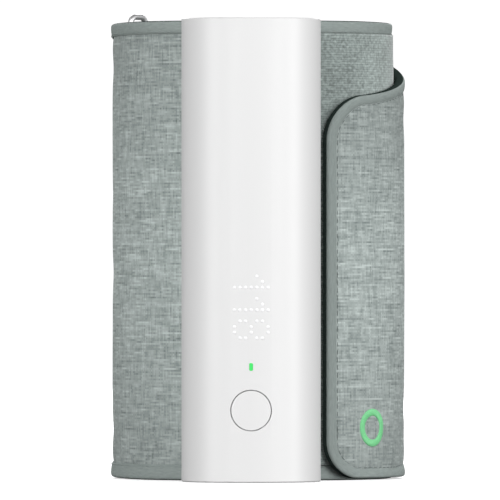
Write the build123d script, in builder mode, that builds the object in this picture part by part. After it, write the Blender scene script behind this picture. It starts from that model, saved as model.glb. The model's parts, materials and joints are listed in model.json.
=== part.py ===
from build123d import *
import os
from math import asin, atan, cos, degrees, radians, sin, sqrt

# Upper-arm blood pressure monitor: a tube-shaped unit whose saddle-shaped back carries a fabric arm cuff.
# Millimetres. X points right, Y away from the front, Z up. The monitor stands upright on its lower end,
# and the origin is the centre of the tube's lower end face.
# Angles round the cuff start at the front (-Y) and grow towards the right (+X), in degrees.
front_angle = -90.0
half_turn = 180.0
full_turn = 360.0

# ---- Tube --------------------------------------------------------------------------------------
tube_length = 155.0
tube_radius = 23.3
shell_wall = 1.6
saddle_wall = 1.6
saddle_depth = 14.25  # from the tube's axis to the middle of its saddle
cap_flange = 1.0
cap_edge = 0.4
cap_skirt = 3.0
cap_skirt_wall = 1.2

# ---- Clearances --------------------------------------------------------------------------------
seat_gap = 0.1  # between rigid pieces that seat on each other
running_gap = 0.08  # round a shaft or plunger in its bore
moving_gap = 0.3  # between pieces that move past each other
layer_gap = 0.05  # between layers of the cuff

# ---- Cuff layers, from the outside in ----------------------------------------------------------
loop_radius = 47.6
loop_x = 0.75
cuff_drop = 0.2  # the cuff's top edge lies this far below the tube's
cover_thickness = 0.8
stiffener_thickness = 1.35
bladder_thickness = 0.8
lining_thickness = 0.75
binding_height = 4.4
binding_proud = 0.5
binding_dip = 0.7  # how far the binding of the pile side lies below its fabric
wing_end_angle = -119.0
lining_end_angle = 95.0
bladder_start_angle = -105.0
bladder_end_angle = 80.0
tube_side_angle = 21.5  # half of the angle that the tube hides

# ---- Strap and flap ----------------------------------------------------------------------------
strap_thickness = 3.0
flap_thickness = 2.9
flap_tip_angle = 28.7
hinge_angle = 100.0
rim_width = 4.4
rim_stop_angle = 3.0  # angle between the hinge and the end of each rim
strap_bottom = 0.6
slope_fall = 12.8  # from the cuff's top edge down to the strap's sloping edge, over the cuff's axis
slope_drop = 13.0  # how far that edge falls from the axis to the tip
bottom_corner = 12.5
top_corner = 15.0
corner_face_angle = 35.0  # the flap's corners are rounded as seen square on to this angle
hook_thickness = 0.8
hook_start_angle = 36.0
hook_end_angle = 70.0
hook_side_angle = 0.1  # gap beside the hook pad's ends
hook_margin = 24.0  # from the flap's lower edge, and from its tip's top edge
mark_angle = 51.6
mark_height = 17.6
mark_radius = 6.4
mark_stroke = 2.4
mark_thickness = 0.3

# ---- Wire ring ---------------------------------------------------------------------------------
wire_radius = 1.0
ring_proud = 3.4  # how far the ring stands out above the cuff
ring_bottom = 0.1
ring_corner = 2.6
strap_leg_angle = 228.5
sleeve_end_angle = 251.0
sleeve_leg_angle = 238.0
fold_radius = 1.8
sleeve_radius = 1.3
sleeve_thickness = 0.8
sleeve_inset = 2.8  # from the cuff's edges
sleeve_clear_angle = 252.0  # the bindings are flush with the cuff up to here

# ---- Controls and display ----------------------------------------------------------------------
button_radius = 6.6
button_height = 24.1
button_flange = 1.6
button_flange_thickness = 1.2
button_stem = 1.5
button_travel = 0.5
button_spring_room = 0.9  # under the switch's plunger
light_width = 1.2
light_length = 2.5
light_height = 38.6
dot_pitch = 1.87
dot_size = 1.0
dot_columns = 7
dot_rows = 18
dots_height = 58.5
dot_bulge = 0.5
dot_carrier = 0.3
baffle_wall = 0.45
window_wall = 0.8
window_margin = 1.2

# ---- Boards and chassis ------------------------------------------------------------------------
board_depth = 9.4  # from the tube's front to the back of the boards
board_thickness = 1.0
board_width = 26.0
display_bottom = 13.0
display_length = 66.0
board_gap = 5.0
board_inset = 3.7  # from the upper board to the end of the chassis
plate_thickness = 1.2
rib_thickness = 1.6
board_screw_x = 10.8
board_screw_inset = 3.0
board_screw_radius = 0.8
board_screw_head = 1.5
board_screw_head_height = 0.9
chip_size = 9.0
chip_height = 1.2
chip_pitch = 10.0
chip_margin = 9.0
switch_size = 6.2
switch_height = 3.0
plunger_radius = 1.6
plunger_proud = 1.0  # how far the plunger stands out of its switch
plunger_depth = 1.0  # how far it reaches into its switch
socket_width = 8.9
socket_height = 3.2
socket_depth = 7.3
socket_wall = 0.3
socket_floor = 1.0

# ---- Battery -----------------------------------------------------------------------------------
battery_radius = 9.1
battery_length = 49.0
battery_bottom = 17.0
battery_gap = 2.0  # from the battery to the chassis plate
battery_edge = 0.6
battery_cap = 1.0

# ---- Pump --------------------------------------------------------------------------------------
pump_gap = 1.675  # from the pump to the chassis plate and to the saddle's wall
motor_inset = 1.0  # from the pump's outside in to the motor's
motor_length = 24.0
motor_wall = 1.0
motor_shell = 2.0
shaft_radius = 1.0
bearing_radius = 2.6
bearing_length = 2.0
core_side_gap = 0.8
core_length = 13.0
core_gap = 1.5
winding_slots = 3
winding_slot_depth = 3.3
winding_slot_width = 1.8
commutator_radius = 2.5
commutator_length = 2.5
crank_radius = 5.0
crank_thickness = 2.0
crank_throw = 3.0
crank_pin_length = 2.2
pump_body_length = 11.0
pump_wall = 3.5
pump_cavity_length = 7.0
pump_chambers = 3
chamber_throw = 4.5  # from the shaft's axis to each air chamber
diaphragm_thickness = 1.0
pump_cover_length = 5.8
spigot_radius = 1.5
spigot_bore = 0.7
spigot_length = 3.0
outlet_x = 4.0
hose_wall = 1.0

# ---- Air path ----------------------------------------------------------------------------------
manifold_gap = 5.0  # from the pump's cover up to the manifold
manifold_headroom = 7.6  # from the manifold up to the end of the chassis
manifold_left = -2.0
manifold_right = 9.0
manifold_front = -3.0
manifold_back = 7.0
manifold_length = 10.0
port_radius = 1.8
port_bore = 1.0
port_spigot = 1.2
sensor_size = 4.0
sensor_height = 2.4
sensor_nozzle = 1.0
sensor_nozzle_length = 2.0
valve_x = -8.0
valve_y = 1.0
valve_radius = 4.6
valve_floor = 1.5
valve_plunger_radius = 2.0
valve_plunger_length = 8.0
valve_travel = 1.0
valve_spring_room = 1.4  # above the plunger
coil_waist = 0.5
valve_spigot = 1.2

# ---- Clamp -------------------------------------------------------------------------------------
clamp_width = 25.0
clamp_bottom = 14.0
clamp_inset = 9.8  # from the cuff's top edge
clamp_corner = 3.0
screw_x = 8.0  # from the middle of the saddle
screw_inset = 13.0  # from the ends of the clamp plate
screw_radius = 1.0
screw_length = 6.5
screw_head = 1.6
screw_head_height = 0.6
screw_web = 0.15  # thickness of the clamp plate under the outer edge of a screw head
boss_radius = 2.4
boss_length = 4.5

# ---- Derived sizes -----------------------------------------------------------------------------
cuff_height = tube_length - cuff_drop
saddle_radius = loop_radius + seat_gap
loop_y = saddle_depth + saddle_radius
inner_radius = tube_radius - shell_wall
inner_saddle = saddle_radius + saddle_wall

cover_inner = loop_radius - cover_thickness
stiffener_outer = cover_inner - layer_gap
stiffener_inner = stiffener_outer - stiffener_thickness
bladder_outer = stiffener_inner - layer_gap
bladder_inner = bladder_outer - bladder_thickness
lining_outer = bladder_inner - layer_gap
lining_inner = lining_outer - lining_thickness
binding_inner = lining_inner - binding_proud
layer_bottom = binding_height + layer_gap
layer_top = cuff_height - binding_height - layer_gap
strap_inner = loop_radius - strap_thickness
slope_height = cuff_height - slope_fall
hook_bottom = strap_bottom + hook_margin
hook_top = slope_height - slope_drop - hook_margin
ring_top = cuff_height + ring_proud
sleeve_bottom = sleeve_inset
sleeve_top = cuff_height - sleeve_inset
clamp_top = cuff_height - clamp_inset
screw_low = clamp_bottom + screw_inset
screw_high = clamp_top - screw_inset

leg_radius = loop_radius + fold_radius
return_offset = (2 * fold_radius - moving_gap) / (1 - cos(radians(strap_leg_angle - hinge_angle)))
return_inner = loop_radius + moving_gap + return_offset
flap_inner = loop_radius + moving_gap
flap_outer = flap_inner + flap_thickness
hinge_radius = flap_inner + flap_thickness / 2

board_back = board_depth - tube_radius
board_front = board_back - board_thickness
chassis_bottom = cap_flange + cap_skirt + moving_gap
chassis_top = tube_length - chassis_bottom
plate_back = board_back + plate_thickness
saddle_front = loop_y - inner_saddle
battery_y = plate_back + battery_gap + battery_radius
pump_y = (plate_back + saddle_front) / 2
pump_radius = (saddle_front - plate_back) / 2 - pump_gap
pump_cavity = pump_radius - pump_wall
motor_radius = pump_radius - motor_inset
motor_cavity = motor_radius - motor_shell
core_radius = motor_cavity - core_side_gap
carrier_front = board_front - dot_carrier
dot_front = carrier_front - dot_bulge
switch_front = board_front - switch_height
display_top = display_bottom + display_length
main_bottom = display_top + board_gap
main_top = chassis_top - board_inset
manifold_top = chassis_top - manifold_headroom
manifold_bottom = manifold_top - manifold_length
manifold_middle = (manifold_bottom + manifold_top) / 2
pump_top = manifold_bottom - manifold_gap
pump_cover_bottom = pump_top - pump_cover_length
diaphragm_bottom = pump_cover_bottom - seat_gap - diaphragm_thickness
pump_bottom = diaphragm_bottom - seat_gap - pump_body_length
motor_top = pump_bottom - seat_gap
motor_bottom = motor_top - motor_length
socket_y = board_front - socket_height / 2


def around(centre, radius, angle):
    """Point at a radius and angle round a centre, seen from above."""
    return (centre[0] + radius * sin(radians(angle)), centre[1] - radius * cos(radians(angle)))


loop_centre = (loop_x, loop_y)
return_centre = around(loop_centre, return_offset, hinge_angle + half_turn)
strap_leg_point = around(loop_centre, leg_radius, strap_leg_angle)
sleeve_leg_point = around(loop_centre, leg_radius, sleeve_leg_angle)
front_plane = Plane(origin=(0, -tube_radius, 0), x_dir=(1, 0, 0), z_dir=(0, -1, 0))
screw_places = [(loop_x + x, z) for x in (-screw_x, screw_x) for z in (screw_low, screw_high)]


def board_corners(bottom, top):
    """Screw places of a board, as pairs of X and Z."""
    heights = (bottom + board_screw_inset, top - board_screw_inset)
    return [(x, z) for x in (-board_screw_x, board_screw_x) for z in heights]


def facing_front(y):
    """Plane square to Y whose own X and Y are the model's X and Z, looking out of the front."""
    return Plane(origin=(0, y, 0), x_dir=(1, 0, 0), z_dir=(0, -1, 0))


def sector(inner, outer, start, end):
    """Face between two arcs about the sketch's origin."""
    with BuildLine() as outline:
        inside = CenterArc((0, 0), inner, start + front_angle, end - start)
        outside = CenterArc((0, 0), outer, start + front_angle, end - start)
        Line(inside @ 0, outside @ 0)
        Line(inside @ 1, outside @ 1)
    make_face(outline.edges())


def curved_wall(centre, radii, angles, heights, mode=Mode.ADD):
    """Upright curved wall between two radii, two angles and two heights."""
    with BuildSketch(Plane(origin=(centre[0], centre[1], heights[0]))) as section:
        sector(radii[0], radii[1], angles[0], angles[1])
    extrude(section.sketch, amount=heights[1] - heights[0], mode=mode)


def tube_section(inset, saddle_inset):
    """The tube's cross-section, a circle with a hollow saddle, pulled in on both sides."""
    Circle(tube_radius - inset)
    with Locations(loop_centre):
        Circle(saddle_radius + saddle_inset, mode=Mode.SUBTRACT)


def disc_along_front(x, z, radius, near, far, mode=Mode.ADD):
    """Cylinder along Y from one Y to a deeper one."""
    with BuildSketch(facing_front(far)) as section:
        with Locations((x, z)):
            Circle(radius)
    extrude(section.sketch, amount=far - near, mode=mode)


def upright_cylinder(x, y, radius, bottom, top, mode=Mode.ADD):
    """Cylinder along Z."""
    with BuildSketch(Plane.XY.offset(bottom)) as section:
        with Locations((x, y)):
            Circle(radius)
    extrude(section.sketch, amount=top - bottom, mode=mode)


def block(left, right, front, back, bottom, top, mode=Mode.ADD):
    """Square-cornered block between six sides."""
    with BuildSketch(Plane.XY.offset(bottom)) as section:
        with Locations(((left + right) / 2, (front + back) / 2)):
            Rectangle(right - left, back - front)
    extrude(section.sketch, amount=top - bottom, mode=mode)


# ================================================================================================
# Tube: front shell, rear saddle and end caps
# ================================================================================================
window_width = dot_columns * dot_pitch + 2 * window_margin
window_length = dot_rows * dot_pitch + 2 * window_margin

with BuildPart() as front_shell:
    with BuildSketch(Plane.XY.offset(cap_flange)):
        Circle(tube_radius)
        Circle(inner_radius, mode=Mode.SUBTRACT)
        with Locations(loop_centre):
            Circle(saddle_radius, mode=Mode.SUBTRACT)
    extrude(amount=tube_length - 2 * cap_flange)
    # The wall is thinned from inside, so that the dots shine through it.
    with BuildSketch(Plane.XY.offset(dots_height - window_length / 2)):
        with Locations((0, -tube_radius)):
            Rectangle(window_width, tube_radius)
        Circle(tube_radius - window_wall, mode=Mode.INTERSECT)
    extrude(amount=window_length, mode=Mode.SUBTRACT)
    with BuildSketch(front_plane):
        with Locations((0, button_height)):
            Circle(button_radius + moving_gap)
        with Locations((0, light_height)):
            RectangleRounded(light_width + seat_gap, light_length + seat_gap, light_width / 3)
    extrude(amount=-tube_radius / 2, mode=Mode.SUBTRACT)
front_shell.part.label = "front_shell"

with BuildPart() as rear_saddle:
    curved_wall(loop_centre, (saddle_radius, inner_saddle), (-tube_side_angle * 2, tube_side_angle * 2),
                (cap_flange, tube_length - cap_flange))
    boss_face = loop_y - sqrt(inner_saddle**2 - screw_x**2)
    for x, z in screw_places:
        disc_along_front(x, z, boss_radius, boss_face - boss_length, loop_y - cover_inner)
    with BuildSketch(Plane.XY.offset(cap_flange)):
        Circle(inner_radius - seat_gap)
        with Locations(loop_centre):
            Circle(saddle_radius, mode=Mode.SUBTRACT)
    extrude(amount=tube_length - 2 * cap_flange, mode=Mode.INTERSECT)
    for x, z in screw_places:
        disc_along_front(x, z, screw_radius + seat_gap / 2, boss_face - boss_length, loop_y, Mode.SUBTRACT)
    disc_along_front(0, manifold_middle, port_radius + hose_wall + 2 * seat_gap, 0, loop_y, Mode.SUBTRACT)
rear_saddle.part.label = "rear_saddle"


def end_cap(bottom, skirt_bottom):
    """Flange that closes one end of the tube, with the skirt that plugs into it."""
    with BuildPart() as cap:
        with BuildSketch(Plane.XY.offset(bottom)):
            tube_section(0, 0)
        extrude(amount=cap_flange)
        outer_face = cap.faces().sort_by(Axis.Z)[-1 if bottom > 0 else 0]
        chamfer(outer_face.edges(), cap_edge)
        with BuildSketch(Plane.XY.offset(skirt_bottom)):
            tube_section(shell_wall + seat_gap, saddle_wall + seat_gap)
            offset(amount=-cap_skirt_wall, kind=Kind.INTERSECTION, mode=Mode.SUBTRACT)
        extrude(amount=cap_skirt)
    return cap


bottom_end_cap = end_cap(0, cap_flange)
bottom_end_cap.part.label = "bottom_end_cap"

with BuildPart() as top_end_cap:
    add(end_cap(tube_length - cap_flange, tube_length - cap_flange - cap_skirt))
    with BuildSketch(Plane.XY.offset(tube_length)):
        with Locations((0, socket_y)):
            SlotOverall(socket_width + 2 * seat_gap, socket_height + 2 * seat_gap)
    extrude(amount=-cap_flange - cap_skirt, mode=Mode.SUBTRACT)
top_end_cap.part.label = "top_end_cap"

# ================================================================================================
# Button, status light and display
# ================================================================================================
plunger_front = switch_front - plunger_proud
plunger_back = switch_front + plunger_depth
switch_bore_end = plunger_back + button_travel + button_spring_room
flange_outer = inner_radius - moving_gap

with BuildPart() as button_cap:
    # A curved flange behind the shell keeps the button in; its face is flush with the tube.
    disc_along_front(0, button_height, button_radius + button_flange, -tube_radius, -tube_radius / 2)
    with BuildSketch(Plane.XY.offset(button_height - 2 * button_radius)):
        Circle(flange_outer)
        Circle(flange_outer - button_flange_thickness, mode=Mode.SUBTRACT)
    extrude(amount=4 * button_radius, mode=Mode.INTERSECT)
    disc_along_front(0, button_height, button_radius, -tube_radius, button_flange_thickness - flange_outer)
    with BuildSketch(Plane.XY.offset(button_height - 2 * button_radius)):
        Circle(tube_radius)
    extrude(amount=4 * button_radius, mode=Mode.INTERSECT)
    disc_along_front(0, button_height, button_stem, -flange_outer, plunger_front)
button_cap.part.label = "button_cap"

with BuildPart() as switch_plunger:
    disc_along_front(0, button_height, plunger_radius, plunger_front, plunger_back)
switch_plunger.part.label = "switch_plunger"

with BuildPart() as tact_switch:
    block(-switch_size / 2, switch_size / 2, switch_front, board_front,
          button_height - switch_size / 2, button_height + switch_size / 2)
    disc_along_front(0, button_height, plunger_radius + running_gap, switch_front, switch_bore_end,
                     Mode.SUBTRACT)
tact_switch.part.label = "tact_switch"

with BuildPart() as light_pipe:
    with BuildSketch(front_plane):
        with Locations((0, light_height)):
            RectangleRounded(light_width, light_length, light_width / 3)
    extrude(amount=-(tube_radius + dot_front))
    with BuildSketch(Plane.XY.offset(light_height - light_length)):
        Circle(tube_radius)
    extrude(amount=2 * light_length, mode=Mode.INTERSECT)
light_pipe.part.label = "light_pipe"

with BuildPart() as status_led:
    block(-light_width / 2, light_width / 2, dot_front, board_front,
          light_height - light_length / 2, light_height + light_length / 2)
status_led.part.label = "status_led"


def circuit_board(bottom, top):
    """Board on the front of the chassis plate, with a screw hole near each corner."""
    with BuildPart() as board:
        block(-board_width / 2, board_width / 2, board_front, board_back, bottom, top)
        for x, z in board_corners(bottom, top):
            disc_along_front(x, z, board_screw_radius + seat_gap, board_front, board_back, Mode.SUBTRACT)
    return board


display_board = circuit_board(display_bottom, display_top)
display_board.part.label = "display_board"

dots_width = dot_columns * dot_pitch
dots_length = dot_rows * dot_pitch

with BuildPart() as led_array:
    with BuildSketch(facing_front(board_front)):
        with Locations((0, dots_height)):
            Rectangle(dots_width, dots_length)
    extrude(amount=dot_carrier)
    with BuildSketch(facing_front(carrier_front)):
        with Locations((0, dots_height)):
            with GridLocations(dot_pitch, dot_pitch, dot_columns, dot_rows):
                Rectangle(dot_size, dot_size)
    extrude(amount=dot_bulge)
led_array.part.label = "led_array"

baffle_back = dot_front - seat_gap
baffle_front = -sqrt((tube_radius - window_wall - seat_gap) ** 2 - (dots_width / 2) ** 2)

with BuildPart() as light_baffle:
    with BuildSketch(facing_front(baffle_back)):
        with Locations((0, dots_height)):
            Rectangle(dots_width + 2 * baffle_wall, dots_length + 2 * baffle_wall)
            with GridLocations(dot_pitch, dot_pitch, dot_columns, dot_rows):
                Rectangle(dot_pitch - baffle_wall, dot_pitch - baffle_wall, mode=Mode.SUBTRACT)
    extrude(amount=baffle_back - baffle_front - 2 * baffle_wall)
light_baffle.part.label = "light_baffle"

# ================================================================================================
# Chassis, boards, socket and battery
# ================================================================================================
sensor_x = outlet_x
battery_top = battery_bottom + battery_length
board_screw_places = board_corners(display_bottom, display_top) + board_corners(main_bottom, main_top)


def rib(bottom):
    """Cross rib that fills the tube's section behind the chassis plate."""
    with BuildSketch(Plane.XY.offset(bottom)) as section:
        tube_section(shell_wall + moving_gap, saddle_wall + moving_gap)
        with Locations((0, board_back - tube_radius / 2)):
            Rectangle(2 * tube_radius, tube_radius, mode=Mode.SUBTRACT)
    extrude(section.sketch, amount=rib_thickness)


def cradle(y, radius, bottom, top):
    """Round seat that is open towards the back."""
    with BuildSketch(Plane.XY.offset(bottom)) as section:
        with Locations((0, y)):
            Circle(radius)
        with Locations((0, y + tube_radius)):
            Rectangle(2 * radius, 2 * tube_radius)
    extrude(section.sketch, amount=top - bottom, mode=Mode.SUBTRACT)


with BuildPart() as chassis:
    block(-board_width / 2, board_width / 2, board_back, plate_back, chassis_bottom, chassis_top)
    rib(chassis_bottom)
    rib(battery_bottom - seat_gap - rib_thickness)
    rib(battery_bottom + battery_length / 3)
    rib(battery_bottom + battery_length * 2 / 3)
    rib(battery_top + seat_gap)
    rib(motor_bottom - seat_gap - rib_thickness)
    rib(motor_bottom + motor_length / 4)
    rib(motor_bottom + motor_length * 3 / 4)
    cradle(battery_y, battery_radius + seat_gap, battery_bottom - seat_gap, battery_top + seat_gap)
    cradle(pump_y, motor_radius + seat_gap, motor_bottom - seat_gap, motor_bottom + motor_length)
    # Window for the pressure sensor.
    window_half = sensor_size / 2 + seat_gap
    block(sensor_x - window_half, sensor_x + window_half, board_back, plate_back,
          manifold_middle - window_half, manifold_middle + window_half, Mode.SUBTRACT)
    for x, z in board_screw_places:
        disc_along_front(x, z, board_screw_radius + seat_gap / 2, board_back, plate_back, Mode.SUBTRACT)
chassis.part.label = "chassis"

main_board = circuit_board(main_bottom, main_top)
main_board.part.label = "main_board"

with BuildPart() as board_chips:
    with BuildSketch(facing_front(board_front)):
        with Locations((0, main_bottom + chip_margin)):
            Rectangle(chip_size, chip_size)
        with Locations((0, main_bottom + chip_margin + 2 * chip_pitch)):
            with GridLocations(chip_pitch, chip_pitch, 2, 3):
                Rectangle(chip_size / 2, chip_size / 3)
    extrude(amount=chip_height)
board_chips.part.label = "board_chips"

with BuildPart() as board_screws:
    for x, z in board_screw_places:
        disc_along_front(x, z, board_screw_head, board_front - board_screw_head_height, board_front)
        disc_along_front(x, z, board_screw_radius, board_front, plate_back)
board_screws.part.label = "board_screws"

with BuildPart() as charging_socket:
    with BuildSketch(Plane.XY.offset(tube_length - cap_edge - socket_depth)):
        with Locations((0, socket_y)):
            SlotOverall(socket_width, socket_height)
    extrude(amount=socket_depth)
    with BuildSketch(Plane.XY.offset(tube_length - cap_edge)):
        with Locations((0, socket_y)):
            SlotOverall(socket_width - 2 * socket_wall, socket_height - 2 * socket_wall)
    extrude(amount=socket_floor - socket_depth, mode=Mode.SUBTRACT)
    # The tongue that carries the contacts.
    block(-socket_width / 4, socket_width / 4, socket_y - socket_height / 8, socket_y + socket_height / 8,
          tube_length - cap_edge - socket_depth, tube_length - cap_edge - socket_floor)
charging_socket.part.label = "charging_socket"

with BuildPart() as battery_cell:
    upright_cylinder(0, battery_y, battery_radius, battery_bottom, battery_top - battery_cap)
    chamfer(battery_cell.edges().filter_by(GeomType.CIRCLE), battery_edge)
    upright_cylinder(0, battery_y, battery_radius / 3, battery_top - battery_cap, battery_top)
battery_cell.part.label = "battery_cell"

# ================================================================================================
# Pump
# ================================================================================================
bore_radius = shaft_radius + running_gap
core_bottom = motor_bottom + motor_wall + bearing_length + core_gap
shaft_bottom = motor_bottom + motor_wall + moving_gap
crank_bottom = pump_bottom + motor_wall
crank_top = crank_bottom + crank_thickness

with BuildPart() as motor_can:
    upright_cylinder(0, pump_y, motor_radius, motor_bottom, motor_top)
    chamfer(motor_can.edges().group_by(Axis.Z)[0], motor_wall)
    upright_cylinder(0, pump_y, motor_cavity, motor_bottom + motor_wall, motor_top - motor_wall,
                     Mode.SUBTRACT)
    upright_cylinder(0, pump_y, bearing_radius, motor_bottom, motor_bottom + motor_wall + bearing_length)
    upright_cylinder(0, pump_y, bearing_radius, motor_top - motor_wall - bearing_length, motor_top)
    upright_cylinder(0, pump_y, bore_radius, motor_bottom + motor_wall, motor_top, Mode.SUBTRACT)
motor_can.part.label = "motor_can"

with BuildPart() as motor_rotor:
    upright_cylinder(0, pump_y, shaft_radius, shaft_bottom, crank_top)
    upright_cylinder(0, pump_y, core_radius, core_bottom, core_bottom + core_length)
    upright_cylinder(0, pump_y, commutator_radius, core_bottom + core_length,
                     core_bottom + core_length + commutator_length)
    upright_cylinder(0, pump_y, crank_radius, crank_bottom, crank_top)
    upright_cylinder(crank_throw, pump_y, shaft_radius, crank_top, crank_top + crank_pin_length)
    # Winding slots of the core.
    with BuildSketch(Plane.XY.offset(core_bottom)):
        with Locations((0, pump_y)):
            with PolarLocations(core_radius, winding_slots):
                Rectangle(2 * winding_slot_depth, winding_slot_width)
    extrude(amount=core_length, mode=Mode.SUBTRACT)
motor_rotor.part.label = "motor_rotor"

with BuildPart() as pump_body:
    upright_cylinder(0, pump_y, pump_radius, pump_bottom, pump_bottom + pump_body_length)
    upright_cylinder(0, pump_y, pump_cavity, pump_bottom, pump_bottom + pump_cavity_length, Mode.SUBTRACT)
    with BuildSketch(Plane.XY.offset(pump_bottom + pump_cavity_length)):
        with Locations((0, pump_y)):
            with PolarLocations(chamber_throw, pump_chambers):
                Circle(spigot_radius)
    extrude(amount=pump_body_length - pump_cavity_length, mode=Mode.SUBTRACT)
pump_body.part.label = "pump_body"

with BuildPart() as pump_diaphragm:
    upright_cylinder(0, pump_y, pump_radius, diaphragm_bottom, diaphragm_bottom + diaphragm_thickness)
pump_diaphragm.part.label = "pump_diaphragm"

with BuildPart() as pump_cover:
    upright_cylinder(0, pump_y, pump_radius, pump_cover_bottom, pump_top)
    chamfer(pump_cover.edges().group_by(Axis.Z)[-1], motor_wall)
    upright_cylinder(outlet_x, pump_y, spigot_radius, pump_top, pump_top + spigot_length - seat_gap)
    upright_cylinder(outlet_x, pump_y, spigot_bore, pump_cover_bottom, pump_top + spigot_length,
                     Mode.SUBTRACT)
pump_cover.part.label = "pump_cover"

# ================================================================================================
# Air path: manifold, hoses, sensor and valve
# ================================================================================================
sensor_back = board_back + sensor_height
nozzle_end = sensor_back + sensor_nozzle_length

with BuildPart() as air_manifold:
    block(manifold_left, manifold_right, manifold_front, manifold_back, manifold_bottom, manifold_top)
    fillet(air_manifold.edges().filter_by(Axis.Z), hose_wall)
    # Spigots down to the pump, back to the cuff and forward to the sensor.
    upright_cylinder(outlet_x, pump_y, spigot_radius, pump_top + spigot_length + seat_gap, manifold_bottom)
    disc_along_front(0, manifold_middle, port_radius, manifold_back, manifold_back + port_spigot)
    disc_along_front(sensor_x, manifold_middle, sensor_nozzle, manifold_front - port_spigot, manifold_front)
    upright_cylinder(outlet_x, pump_y, spigot_bore, pump_top, manifold_middle, Mode.SUBTRACT)
    disc_along_front(0, manifold_middle, port_bore, pump_y, manifold_back + port_spigot, Mode.SUBTRACT)
    disc_along_front(sensor_x, manifold_middle, sensor_nozzle / 2, manifold_front - port_spigot, pump_y,
                     Mode.SUBTRACT)
    # Socket for the valve's spigot.
    with BuildSketch(Plane.YZ.offset(manifold_left)):
        with Locations((valve_y, manifold_middle)):
            Circle(valve_spigot + seat_gap / 2)
    extrude(amount=port_spigot * 2, mode=Mode.SUBTRACT)
air_manifold.part.label = "air_manifold"

with BuildPart() as pump_hose:
    upright_cylinder(outlet_x, pump_y, spigot_radius + hose_wall, pump_top + seat_gap,
                     manifold_bottom - seat_gap)
    upright_cylinder(outlet_x, pump_y, spigot_radius + layer_gap, pump_top, manifold_bottom, Mode.SUBTRACT)
pump_hose.part.label = "pump_hose"

cuff_port_front = manifold_back + port_spigot + seat_gap
port_seat = loop_y - sqrt(inner_saddle**2 - (port_radius + hose_wall) ** 2)

with BuildPart() as cuff_hose:
    disc_along_front(0, manifold_middle, port_radius + hose_wall, manifold_back + seat_gap, port_seat)
    disc_along_front(0, manifold_middle, port_radius + layer_gap, manifold_back, port_seat, Mode.SUBTRACT)
cuff_hose.part.label = "cuff_hose"

with BuildPart() as pressure_sensor:
    block(sensor_x - sensor_size / 2, sensor_x + sensor_size / 2, board_back, sensor_back,
          manifold_middle - sensor_size / 2, manifold_middle + sensor_size / 2)
    disc_along_front(sensor_x, manifold_middle, sensor_nozzle, sensor_back, nozzle_end)
    disc_along_front(sensor_x, manifold_middle, sensor_nozzle / 2, sensor_back, nozzle_end, Mode.SUBTRACT)
pressure_sensor.part.label = "pressure_sensor"

with BuildPart() as sensor_hose:
    disc_along_front(sensor_x, manifold_middle, sensor_nozzle + hose_wall, sensor_back + seat_gap,
                     manifold_front - seat_gap)
    disc_along_front(sensor_x, manifold_middle, sensor_nozzle + layer_gap, sensor_back, manifold_front,
                     Mode.SUBTRACT)
sensor_hose.part.label = "sensor_hose"

valve_bore = valve_plunger_radius + running_gap
valve_bottom = manifold_bottom
valve_seat = valve_bottom + valve_floor
valve_plunger_bottom = valve_seat + moving_gap
valve_plunger_top = valve_plunger_bottom + valve_plunger_length
valve_ceiling = valve_plunger_top + valve_travel + valve_spring_room + moving_gap
valve_top = valve_ceiling + valve_floor

with BuildPart() as valve_body:
    upright_cylinder(valve_x, valve_y, valve_radius, valve_bottom, valve_top)
    # The coil shows as a waist between two flanges.
    with BuildSketch(Plane.XY.offset(valve_seat)):
        with Locations((valve_x, valve_y)):
            Circle(valve_radius)
            Circle(valve_radius - coil_waist, mode=Mode.SUBTRACT)
    extrude(amount=valve_ceiling - valve_seat, mode=Mode.SUBTRACT)
    with BuildSketch(Plane.YZ.offset(valve_x)):
        with Locations((valve_y, manifold_middle)):
            Circle(valve_spigot)
    extrude(amount=manifold_left - valve_x + port_spigot)
    upright_cylinder(valve_x, valve_y, valve_bore, valve_seat, valve_ceiling, Mode.SUBTRACT)
valve_body.part.label = "valve_body"

with BuildPart() as valve_plunger:
    upright_cylinder(valve_x, valve_y, valve_plunger_radius, valve_plunger_bottom, valve_plunger_top)
    chamfer(valve_plunger.edges().group_by(Axis.Z)[-1], cap_edge)
valve_plunger.part.label = "valve_plunger"

# ================================================================================================
# Cuff layers and clamp
# ================================================================================================
layer_heights = (layer_bottom, layer_top)

with BuildPart() as cuff_cover:
    curved_wall(loop_centre, (cover_inner, loop_radius), (wing_end_angle, -layer_gap), layer_heights)
    for z in (screw_low, screw_high):
        disc_along_front(loop_x - screw_x, z, screw_radius + seat_gap, 0, loop_y, Mode.SUBTRACT)
    disc_along_front(0, manifold_middle, port_radius + seat_gap, 0, loop_y, Mode.SUBTRACT)
cuff_cover.part.label = "cuff_cover"

with BuildPart() as pile_panel:
    curved_wall(loop_centre, (cover_inner, loop_radius), (layer_gap, strap_leg_angle), layer_heights)
    for z in (screw_low, screw_high):
        disc_along_front(loop_x + screw_x, z, screw_radius + seat_gap, 0, loop_y, Mode.SUBTRACT)
    disc_along_front(0, manifold_middle, port_radius + seat_gap, 0, loop_y, Mode.SUBTRACT)
pile_panel.part.label = "pile_panel"


def clamp_outline(grow, mode):
    """Cut to or away the clamp plate's rounded outline, seen from the front."""
    with BuildSketch(facing_front(0)) as outline:
        with Locations((loop_x, (clamp_bottom + clamp_top) / 2)):
            RectangleRounded(clamp_width + 2 * grow, clamp_top - clamp_bottom + 2 * grow, clamp_corner + grow)
    extrude(outline.sketch, amount=-loop_y, mode=mode)


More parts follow.
